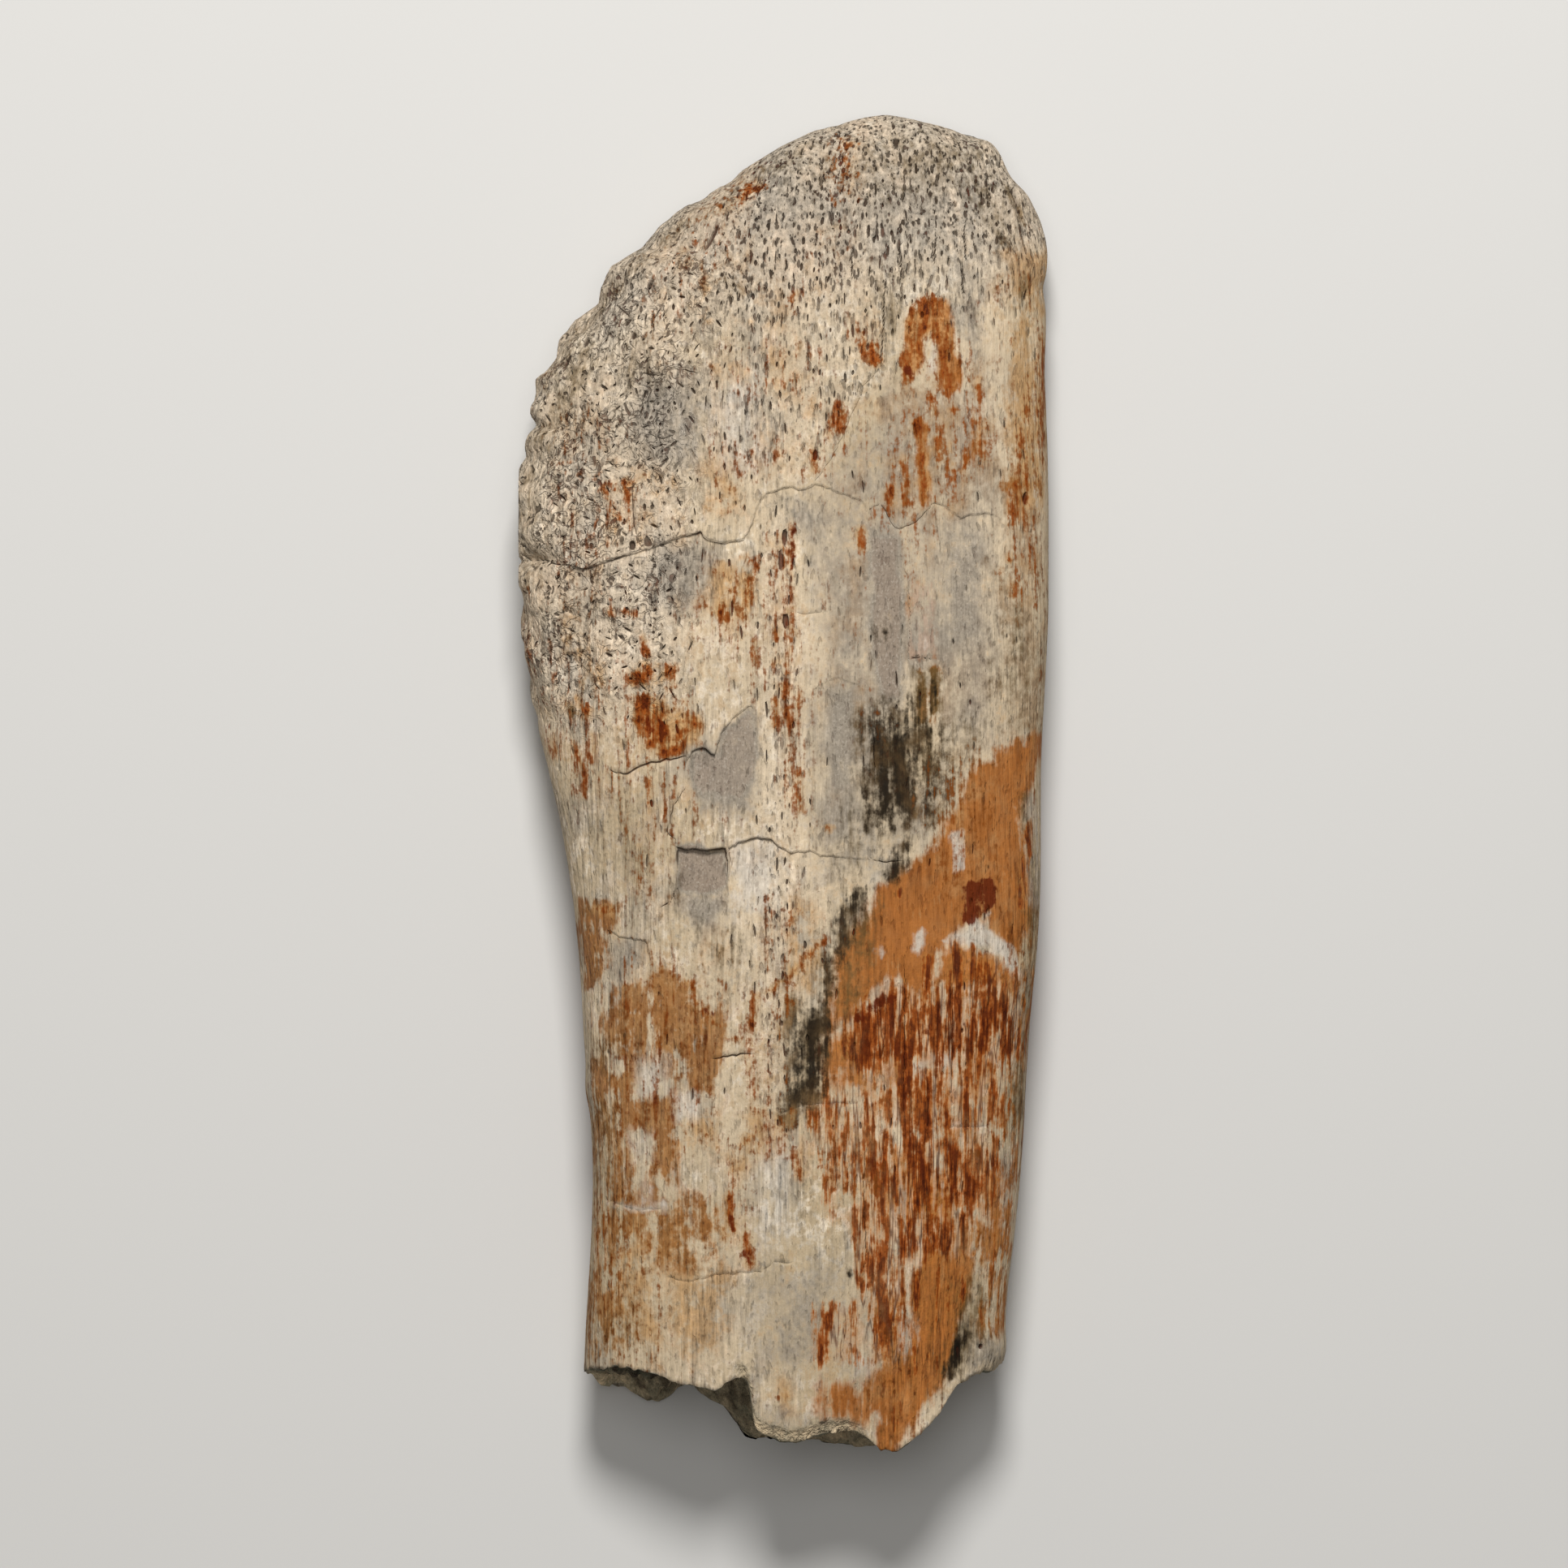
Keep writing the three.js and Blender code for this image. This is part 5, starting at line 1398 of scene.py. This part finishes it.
# The low places of the sponge are darkened: painted shade in its holes.
sponge_holes = np.clip(0.5 - sponge * 2, 0, 1) * spongy * (1 - 0.6 * ledge)
fields = {
    # Darkness of the pits, with the painted shadows of scar edges, cracks and the chip, and painted
    # shade in the sponge's holes.
    "pit_and_painted_shade": on_all(np.maximum(carried_dark, painted_crease_shade), sponge_holes),
    "porous": on_all(porous, 0.4),
    "wild": on_all(wild),
    "core": on_all(0.75 * chipped, smoothstep(wall, 0, 0.5)),
    "ledge": on_all(chipped, ledge),
    "spongy": on_all(np.zeros(len(blade)), spongy),
}
for number, (marking, shapes) in enumerate(FACE_STAINS_AND_SHADE.items()):
    sizes = [(4.0, 0.6), (1.6, 0.5)]
    bent_px = px + BEND_ACROSS * layered_noise(base, sizes, stretch=1.4, seed=60.0 + number)
    bent_py = py + BEND_ALONG * layered_noise(base, sizes, seed=80.0 + number)
    on_back = stain_and_shade_density(BACK_STAINS[marking], bent_px, bent_py)
    fields[marking] = on_all(lerp(on_back, stain_and_shade_density(shapes, bent_px, bent_py), on_face))

# Rust freckles lie everywhere but on the grey scars.
freckled = 0.14 + 0.2 * layered_noise(base, [(9.0, 1.0)], stretch=1.5, seed=95.0)
freckled *= 1 - smoothstep(fields["grey"][: len(base)], 0.5, 1)
fields["rust"] = np.maximum(fields["rust"], on_all(freckled))


def rib_mesh():
    mesh = bpy.data.meshes.new("rib_surface")
    mesh.from_pydata((all_places * MM).tolist(), [], all_triangles.tolist())
    mesh.polygons.foreach_set("use_smooth", np.ones(len(all_triangles), bool))
    for name, values in fields.items():
        layer = mesh.attributes.new(name, "FLOAT", "POINT")
        layer.data.foreach_set("value", np.ascontiguousarray(values, np.float32))
    # The blade takes the upper part of the texture, and the broken face a strip below it.
    width = sheet.reach[1].max() + sheet.reach[-1].max()
    blade_uv = corner_sheet.reshape(-1, 2) + (sheet.reach[-1].max(), 0)
    blade_uv = blade_uv / (width, sheet.length) * (0.96, 0.82) + (0.02, 0.16)
    flat_core = all_places[core_numbers[core_triangles].ravel()][:, [0, 2]]
    core_uv = (flat_core - (low[0], low[2])) / width * 0.96 + (0.02, 0.005)
    uv = mesh.uv_layers.new(name="OFBake")
    uv.data.foreach_set("uv", np.vstack([blade_uv, core_uv]).astype(np.float32).ravel())
    mesh.validate()
    mesh.update()
    return mesh


# ---- Colours ----
def srgb(red, green, blue):
    """A colour in screen values from 0 to 255 as Blender's linear colour."""
    shares = (c / 255 for c in (red, green, blue))
    return (*(s / 12.92 if s <= 0.04045 else ((s + 0.055) / 1.055) ** 2.4 for s in shares), 1.0)


CREAM = srgb(200, 181, 153)
SAND = srgb(176, 157, 127)
BONE = srgb(230, 216, 194)
CHALK = srgb(192, 181, 165)
LILAC_GREY = srgb(157, 147, 133)
ASH = srgb(120, 110, 97)
SCAR_BROWN = srgb(128, 109, 95)
PALE_BONE = srgb(206, 195, 179)
PINK_TAN = srgb(192, 170, 150)
OCHRE_TINT = srgb(172, 134, 88)
ORANGE = srgb(174, 107, 46)
BURNT_ORANGE = srgb(132, 73, 20)
TAN = srgb(158, 106, 52)
BROWN_ORANGE = srgb(120, 72, 26)
RUST_RED = srgb(134, 62, 8)
DARK_RUST = srgb(80, 25, 0)
MAROON_RED = srgb(92, 30, 0)
OLIVE_BROWN = srgb(92, 72, 38)
SOOT = srgb(28, 21, 13)
UMBER = srgb(44, 31, 20)
SLATE = srgb(58, 62, 50)
CORE_GREY = srgb(150, 144, 120)
# Paler than the ledge's own colour: painted light against the shade that the ledge lies in.
LEDGE_BROWN_PAINTED_LIGHT = srgb(240, 212, 172)


CONTRAST = 2.5  # how far the noises are pulled apart about one half


class Nodes:
    """A material's nodes, added by short calls. Lengths are in mm on the rib."""

    def __init__(self, name):
        self.material = bpy.data.materials.new(name)
        self.material.use_nodes = True
        self.tree = self.material.node_tree
        self.tree.nodes.clear()
        self.place = self.add("ShaderNodeTexCoord").outputs["Object"]

    def add(self, kind, settings=None, **inputs):
        node = self.tree.nodes.new(kind)
        for key, value in (settings or {}).items():
            setattr(node, key, value)
        for key, value in inputs.items():
            self.feed(node.inputs[key.replace("_", " ")], value)
        return node

    def feed(self, socket, value):
        if isinstance(value, bpy.types.NodeSocket):
            self.tree.links.new(value, socket)
        else:
            socket.default_value = value

    def math(self, operation, a, b=0.0):
        node = self.add("ShaderNodeMath", {"operation": operation})
        self.feed(node.inputs[0], a)
        self.feed(node.inputs[1], b)
        return node.outputs[0]

    def joined(self, operation, values):
        result = values[0]
        for value in values[1:]:
            result = self.math(operation, result, value)
        return result

    def total(self, *values):
        return self.joined("ADD", values)

    def times(self, *values):
        return self.joined("MULTIPLY", values)

    def most(self, *values):
        return self.joined("MAXIMUM", values)

    def inverse(self, value):
        return self.math("SUBTRACT", 1.0, value)

    def blend(self, *pairs):
        """The sum of (share, value) pairs."""
        return self.total(*(self.times(value, share) for share, value in pairs))

    def mix(self, share, under, over):
        node = self.add("ShaderNodeMix", {"data_type": "RGBA"})
        self.feed(node.inputs[0], share)
        self.feed(node.inputs[6], under)
        self.feed(node.inputs[7], over)
        return node.outputs[2]

    def shade(self, colour, brightness):
        """The colour with its own brightness multiplied."""
        node = self.add("ShaderNodeVectorMath", {"operation": "SCALE"}, Vector=colour)
        self.feed(node.inputs["Scale"], brightness)
        return node.outputs[0]

    def step(self, value, low, high):
        node = self.add("ShaderNodeMapRange", {"interpolation_type": "SMOOTHSTEP"})
        self.feed(node.inputs["Value"], value)
        self.feed(node.inputs["From Min"], low)
        self.feed(node.inputs["From Max"], high)
        return node.outputs[0]

    def field(self, name):
        return self.add("ShaderNodeAttribute", {"attribute_name": name}).outputs["Fac"]

    def scaled(self, size, stretch, shift):
        node = self.add("ShaderNodeMapping")
        self.feed(node.inputs["Vector"], self.place)
        node.inputs["Scale"].default_value = (1 / MM / size, 1 / MM / size / stretch, 1 / MM / size)
        node.inputs["Location"].default_value = (shift, shift * 1.7, shift * 2.3)
        return node.outputs[0]

    def noise(self, size, stretch=1.0, detail=2.0, roughness=0.55, shift=0.0, distortion=0.0):
        """Noise about one half, most of it between 0 and 1."""
        vector = self.scaled(size, stretch, shift)
        node = self.add("ShaderNodeTexNoise", Vector=vector, Scale=1.0, Detail=detail)
        self.feed(node.inputs["Roughness"], roughness)
        self.feed(node.inputs["Distortion"], distortion)
        return self.total(self.times(node.outputs["Fac"], CONTRAST), 0.5 - CONTRAST / 2)

    def hairs(self, size, stretch, shift):
        """Long thin lines along the blade, 1 in their middle."""
        level = self.noise(size, stretch, 2, 0.5, shift=shift)
        return self.step(self.math("ABSOLUTE", self.total(level, -0.5)), 0.1, 0.015)

    def slits(self, size, stretch, sway, shift):
        """Narrow marks of many sizes, from 0 to 1, scattered along the blade and turned by the sway."""
        bend = self.add("ShaderNodeTexNoise", Vector=self.scaled(1.5, 1, shift), Scale=1.0, Detail=1.0)
        turned = self.add("ShaderNodeVectorMath", {"operation": "MULTIPLY_ADD"})
        self.feed(turned.inputs[0], bend.outputs["Color"])
        self.feed(turned.inputs[1], (sway, sway, sway))
        self.feed(turned.inputs[2], self.scaled(size, stretch, shift))
        cells = self.add("ShaderNodeTexVoronoi", Vector=turned.outputs[0], Scale=1.0)
        chance = self.add("ShaderNodeSeparateColor", Color=cells.outputs["Color"])
        reach = self.total(0.1, self.times(chance.outputs[0], chance.outputs[0], 0.38))
        return self.step(self.math("DIVIDE", cells.outputs["Distance"], reach), 1.0, 0.6)

    def cover(self, colour, value, low, high, most, tone):
        """The colour under a stain that grows from nothing at low to its most at high."""
        return self.mix(self.times(self.step(value, low, high), most), colour, tone)

    def ragged(self, name, rough, spread):
        """A stain's or painted shade's density with noise on it, one half where its edge runs."""
        density = self.field(name)
        shift = self.times(self.math("SUBTRACT", rough, 0.5), spread, self.step(density, 0.02, 0.25))
        return self.math("ADD", density, shift)


def bone_colour(n, noises):
    """Clean bone: cream, sandy, grey and tinted with ochre."""
    cloudy, blotchy, mottled, speckle = (noises[k] for k in ("cloudy", "blotchy", "mottled", "speckle"))
    rough_bone = n.inverse(n.field("smooth"))
    colour = n.mix(noises["broad"], CREAM, SAND)
    colour = n.cover(colour, cloudy, 0.45, 1.0, 0.6, LILAC_GREY)
    bright = n.total(0.25, n.times(rough_bone, 0.5))
    colour = n.cover(colour, n.blend((0.5, blotchy), (0.5, mottled)), 0.45, 0.75, bright, BONE)
    colour = n.cover(colour, n.blend((0.4, cloudy), (0.6, mottled)), 0.35, 0.1, 0.35, OCHRE_TINT)
    dull = n.times(rough_bone, 0.3)
    colour = n.cover(colour, n.blend((0.4, speckle), (0.6, mottled)), 0.4, 0.1, dull, ASH)
    porous = n.mix(blotchy, n.mix(cloudy, PINK_TAN, CHALK), n.mix(mottled, LILAC_GREY, BONE))
    colour = n.mix(n.times(n.field("porous"), 0.6), colour, porous)
    rough = n.blend((0.3, cloudy), (0.4, blotchy), (0.3, mottled))
    colour = n.cover(colour, n.ragged("ochre", rough, 1.9), 0.2, 0.9, 0.85, OCHRE_TINT)

    # Grey bone, which is browner and grainier on the scars.
    grain = n.blend((0.25, mottled), (0.3, speckle), (0.45, noises["grit"]))
    scarred = n.step(n.field("grey"), 0.5, 0.85)
    bare = n.step(n.field("grey"), 0.8, 1.05)
    grey = n.mix(n.blend((0.3, blotchy), (0.4, mottled), (0.3, speckle)), LILAC_GREY, ASH)
    grey = n.cover(grey, n.blend((0.5, mottled), (0.5, speckle)), 0.4, 0.1, 0.25, CHALK)
    grey = n.cover(grey, bare, 0.1, 1.0, 0.55, SCAR_BROWN)
    grey = n.cover(grey, grain, 0.55, 0.85, n.times(scarred, 0.32), PALE_BONE)
    grey = n.cover(grey, grain, 0.42, 0.1, n.times(scarred, 0.6), UMBER)
    return n.cover(colour, n.ragged("grey", rough, 1.0), 0.1, 0.9, 0.9, grey)


def washed(n, noises, colour):
    """Broad iron stains over the bone, brown and orange, with dull green-brown and pale places, some of
    the green-brown being painted shade.
    """
    streaky, blotchy, mottled, threads, cloudy = (
        noises[k] for k in ("streaky", "blotchy", "mottled", "threads", "cloudy")
    )
    patchy = n.blend((0.3, streaky), (0.3, blotchy), (0.2, mottled), (0.2, threads))
    brown = n.mix(n.blend((0.4, streaky), (0.3, threads), (0.3, cloudy)), TAN, BROWN_ORANGE)
    brown = n.cover(brown, n.blend((0.5, blotchy), (0.5, mottled)), 0.5, 0.85, 0.55, BURNT_ORANGE)
    brown = n.cover(brown, n.blend((0.5, threads), (0.5, mottled)), 0.68, 1.0, 0.7, DARK_RUST)
    brown = n.cover(brown, n.blend((0.5, mottled), (0.5, noises["speckle"])), 0.36, 0.05, 0.35, SAND)
    colour = n.cover(colour, n.ragged("brown", patchy, 2.5), 0.02, 0.62, 0.93, brown)
    orange = n.mix(n.blend((0.35, threads), (0.4, streaky), (0.3, cloudy)), ORANGE, BURNT_ORANGE)
    orange = n.cover(orange, n.blend((0.6, streaky), (0.4, threads)), 0.55, 0.85, 0.6, BURNT_ORANGE)
    orange = n.cover(orange, n.blend((0.6, blotchy), (0.4, threads)), 0.35, 0.1, 0.35, OCHRE_TINT)
    colour = n.cover(colour, n.ragged("orange", patchy, 1.5), 0.1, 0.7, 0.97, orange)
    # Green-brown stains, and painted shade along the left edges, over the far tip and in a groove.
    olive_and_shade = n.ragged("olive_and_shade", n.blend((0.5, threads), (0.5, mottled)), 1.1)
    colour = n.cover(colour, olive_and_shade, 0.1, 0.95, 0.8, OLIVE_BROWN)
    pale = n.mix(n.total(0.4, n.times(mottled, 0.6)), LILAC_GREY, PALE_BONE)
    return n.cover(colour, n.ragged("pale", patchy, 1.3), 0.15, 0.8, 0.9, pale)


def marked(n, noises, colour):
    """Sharper marks of iron and manganese over the washes: streaks, soot, rust and maroon."""
    streaky, blotchy, mottled, threads = (
        noises[k] for k in ("streaky", "blotchy", "mottled", "threads")
    )
    streak = n.ragged("streak", n.blend((0.45, streaky), (0.35, threads), (0.2, mottled)), 2.5)
    colour = n.cover(colour, n.ragged("streak", blotchy, 0.8), 0.1, 0.7, 0.3, ORANGE)
    colour = n.cover(colour, streak, 0.25, 0.6, 0.7, n.mix(blotchy, ORANGE, TAN))
    colour = n.cover(colour, streak, 0.5, 0.78, 0.92, RUST_RED)
    colour = n.cover(colour, streak, 0.8, 1.15, 0.85, DARK_RUST)
    hairy = n.total(n.step(n.field("streak"), 0.15, 0.6), n.step(n.field("rust"), 0.2, 0.6))
    colour = n.mix(n.times(hairy, noises["hairs"], 0.72), colour, DARK_RUST)
    smoke = n.mix(mottled, UMBER, OLIVE_BROWN)
    colour = n.cover(colour, n.ragged("black", blotchy, 0.8), 0.1, 0.85, 0.85, smoke)
    soot = n.ragged("black", n.blend((0.4, threads), (0.2, blotchy), (0.4, mottled)), 1.6)
    colour = n.cover(colour, soot, 0.0, 0.7, 0.5, OLIVE_BROWN)
    colour = n.cover(colour, soot, 0.05, 0.75, 0.95, SOOT)
    flecked = n.blend((0.45, threads), (0.35, mottled), (0.2, noises["speckle"]))
    rust = n.ragged("rust", flecked, 2.0)
    colour = n.cover(colour, n.ragged("rust", blotchy, 0.9), 0.0, 0.9, 0.6, OCHRE_TINT)
    colour = n.cover(colour, rust, 0.3, 0.75, 0.8, BURNT_ORANGE)
    colour = n.cover(colour, rust, 0.6, 1.05, 0.85, RUST_RED)
    colour = n.cover(colour, rust, 0.95, 1.35, 0.85, DARK_RUST)
    return n.cover(colour, n.ragged("maroon", flecked, 1.2), 0.3, 0.75, 0.95, MAROON_RED)


def break_colour(n, blotchy):
    """The broken face: a pale hard wall and ledge round a dark sponge. The ledge's paleness is partly
    painted light, and the dark above it partly painted shade of the hollow under the front wall.
    """
    colour = n.mix(blotchy, CORE_GREY, SLATE)
    colour = n.mix(n.times(n.field("spongy"), 0.7), colour, SLATE)
    return n.mix(n.times(n.field("ledge"), 0.9), colour, n.mix(blotchy, LEDGE_BROWN_PAINTED_LIGHT, CORE_GREY))


def brightness(n, noises):
    """What the colours are multiplied by: grain, threads, specks and the crests between pores."""
    porous = n.field("porous")
    wild_crest = n.times(n.step(noises["worms"], 0.66, 0.95), n.field("wild"))
    crest = n.most(n.step(noises["slits"], 0.55, 0.95), wild_crest)
    weathered = n.step(noises["cloudy"], 0.2, 0.9)
    lines_dark = n.total(-0.06, n.times(weathered, -0.24))
    detail = n.total(
        n.times(crest, n.total(0.1, n.times(porous, 0.25))),
        n.times(n.step(noises["grain"], 0.45, 0.05), n.total(0.07, n.times(weathered, 0.16))),
        n.times(n.step(noises["grain"], 0.5, 1.0), lines_dark),
        n.times(n.step(noises["threads"], 0.5, 1.0), lines_dark),
        n.times(n.step(noises["speckle"], 0.55, 1.0), n.total(-0.2, n.times(porous, -0.16))),
        n.times(n.step(noises["speckle"], 0.4, 0.0), 0.14),
        n.times(n.step(noises["mottled"], 0.55, 1.0), -0.18),
        n.times(n.step(noises["mottled"], 0.4, 0.0), 0.08),
        n.times(noises["hairs"], n.total(-0.03, n.times(weathered, -0.2))),
    )
    calm = n.total(1.0, n.times(n.field("smooth"), -0.6))
    return n.total(1.0, n.times(detail, calm))


def open_share(n, noises):
    """Slits, worm-like gaps and pores, from 0 to 1. Slits lie along the bone but where it's wild."""
    porous, wild = n.field("porous"), n.field("wild")
    aligned = n.inverse(wild)
    blade = n.inverse(n.field("core"))
    fine_slits = n.times(n.step(noises["slits"], 0.26, 0.04), n.total(0.3, n.times(porous, 0.7)))
    fine_slits = n.times(fine_slits, aligned, blade)
    worm_gaps = n.step(n.math("ABSOLUTE", n.total(noises["worms"], -0.5)), 0.09, 0.01)
    scattered = n.step(n.blend((0.5, noises["blotchy"]), (0.5, noises["cloudy"])), 0.3, 0.65)
    worm_gaps = n.times(worm_gaps, wild, scattered)
    straight_slits = n.times(n.slits(0.62, 3.2, 0.3, 41.0), aligned)
    straight_slits = n.times(straight_slits, n.total(0.12, n.times(porous, 0.88)))
    turned_slits = n.times(n.slits(0.75, 1.6, 2.6, 47.0), wild)
    large_slits = n.times(n.most(straight_slits, turned_slits), blade)
    # This field also holds the painted shadows along scar edges and cracks, and painted shade below the
    # chip and in the sponge.
    pits = n.step(n.field("pit_and_painted_shade"), 0.12, 0.85)
    return n.most(fine_slits, n.times(worm_gaps, 0.7), n.times(large_slits, 0.9), pits)


def hole_colour(n, noises):
    """The dark of the holes, which is rusty where the bone round them is stained. It is partly painted
    shade, in the holes and along the scar edges and cracks that share their field.
    """
    some_iron = n.times(noises["blotchy"], noises["cloudy"], 0.6)
    iron = n.most(n.field("rust"), n.field("orange"), n.field("streak"), n.field("brown"), some_iron)
    return n.mix(n.step(iron, 0.1, 0.5), UMBER, DARK_RUST)


def fine_relief(n, noises, holes):
    """Height in metres of the finest relief."""
    speckle, mottled = noises["speckle"], noises["mottled"]
    core = n.field("core")
    return n.blend(
        (0.00006, noises["grain"]),
        (0.00008, noises["threads"]),
        (n.total(0.00003, n.times(n.field("porous"), 0.0001)), speckle),
        (n.times(n.field("wild"), 0.0001), mottled),
        (-0.0002, holes),
        (n.times(core, 0.0002), speckle),
        (n.times(core, 0.0003), mottled),
    )


def fossil_bone():
    n = Nodes("fossil_bone")
    noises = {
        "broad": n.noise(16, 1.8, 3),
        "cloudy": n.noise(5, 1.9, 4, shift=3.0),
        "blotchy": n.noise(2.1, 1.5, 4, 0.62, shift=7.0),
        "mottled": n.noise(0.85, 1.4, 3, 0.62, shift=9.0),
        "streaky": n.noise(1.15, 6.5, 3, 0.62, shift=11.0),
        "threads": n.noise(0.62, 13, 3, 0.62, shift=17.0),
        "grain": n.noise(0.4, 20, 2, shift=23.0),
        "speckle": n.noise(0.45, 1.5, 2, 0.62, shift=29.0),
        "worms": n.noise(1.25, 1.0, 2, shift=31.0, distortion=0.9),
        "slits": n.noise(0.5, 3.6, 2, shift=37.0),
        "hairs": n.hairs(0.85, 16, 53.0),
        "grit": n.noise(0.24, 1.3, 1, shift=59.0),
    }
    colour = marked(n, noises, washed(n, noises, bone_colour(n, noises)))
    colour = n.mix(n.field("core"), colour, break_colour(n, noises["blotchy"]))
    colour = n.shade(colour, brightness(n, noises))
    holes = open_share(n, noises)
    # The holes' dark, partly painted shade.
    colour = n.mix(n.times(holes, 0.88), colour, hole_colour(n, noises))

    bump = n.add("ShaderNodeBump", Height=fine_relief(n, noises, holes), Strength=1.0, Distance=1.0)
    polish = n.step(n.most(n.field("orange"), n.field("brown")), 0.3, 0.8)
    roughness = n.total(0.86, n.times(polish, -0.14), n.times(noises["speckle"], 0.05))
    shader = n.add("ShaderNodeBsdfPrincipled", Base_Color=colour, Roughness=roughness)
    n.feed(shader.inputs["Normal"], bump.outputs[0])
    n.feed(shader.inputs["Specular IOR Level"], 0.12)
    output = n.add("ShaderNodeOutputMaterial")
    n.feed(output.inputs["Surface"], shader.outputs[0])
    return n.material


def plain(name, colour, roughness):
    material = bpy.data.materials.new(name)
    material.use_nodes = True
    shader = material.node_tree.nodes["Principled BSDF"]
    shader.inputs["Base Color"].default_value = colour
    shader.inputs["Roughness"].default_value = roughness
    return material


rib = bpy.data.objects.new("rib_surface", rib_mesh())
bpy.context.collection.objects.link(rib)
rib.data.materials.append(fossil_bone())
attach(rib, "root")
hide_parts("rib")

# ---- Floor, light and camera ----
FLOOR_SIZE = 3.0
FLOOR_GREY = srgb(205, 203, 199)
SKY_WHITE = srgb(240, 238, 234)
SKY_STRENGTH = 0.16
floor_mesh = bpy.data.meshes.new("floor")
half = FLOOR_SIZE / 2
floor_corners = [(-half, -half, 0), (half, -half, 0), (half, half, 0), (-half, half, 0)]
floor_mesh.from_pydata(floor_corners, [], [(0, 1, 2, 3)])
floor = bpy.data.objects.new("floor", floor_mesh)
floor.data.materials.append(plain("floor", FLOOR_GREY, 0.9))
bpy.context.collection.objects.link(floor)


def soft_light(name, place, size, power):
    light = bpy.data.lights.new(name, "AREA")
    light.shape = "DISK"
    light.size = size
    light.energy = power
    lamp = bpy.data.objects.new(name, light)
    lamp.location = place
    lamp.rotation_euler = (-Vector(place)).to_track_quat("-Z", "Y").to_euler()
    bpy.context.collection.objects.link(lamp)


soft_light("key", place=(0, 0.42, 0.62), size=0.2, power=5.3)
soft_light("fill", place=(-0.02, 0.1, 0.95), size=0.5, power=2.2)

world = bpy.data.worlds.new("studio")
world.use_nodes = True
sky = world.node_tree.nodes["Background"]
sky.inputs["Color"].default_value = SKY_WHITE
sky.inputs["Strength"].default_value = SKY_STRENGTH
bpy.context.scene.world = world
bpy.context.scene.view_settings.view_transform = "Standard"

SENSOR = 36.0
camera_data = bpy.data.cameras.new("camera")
camera_data.sensor_width = SENSOR
camera_data.lens = SENSOR * (CAMERA_HEIGHT - ARCH_RISE) / (VIEW_SIZE * PIXEL)
camera = bpy.data.objects.new("camera", camera_data)
camera.location = (0, (MIDDLE_PX[1] - VIEW_SIZE / 2) * PIXEL * MM, CAMERA_HEIGHT * MM)
bpy.context.collection.objects.link(camera)
bpy.context.scene.camera = camera
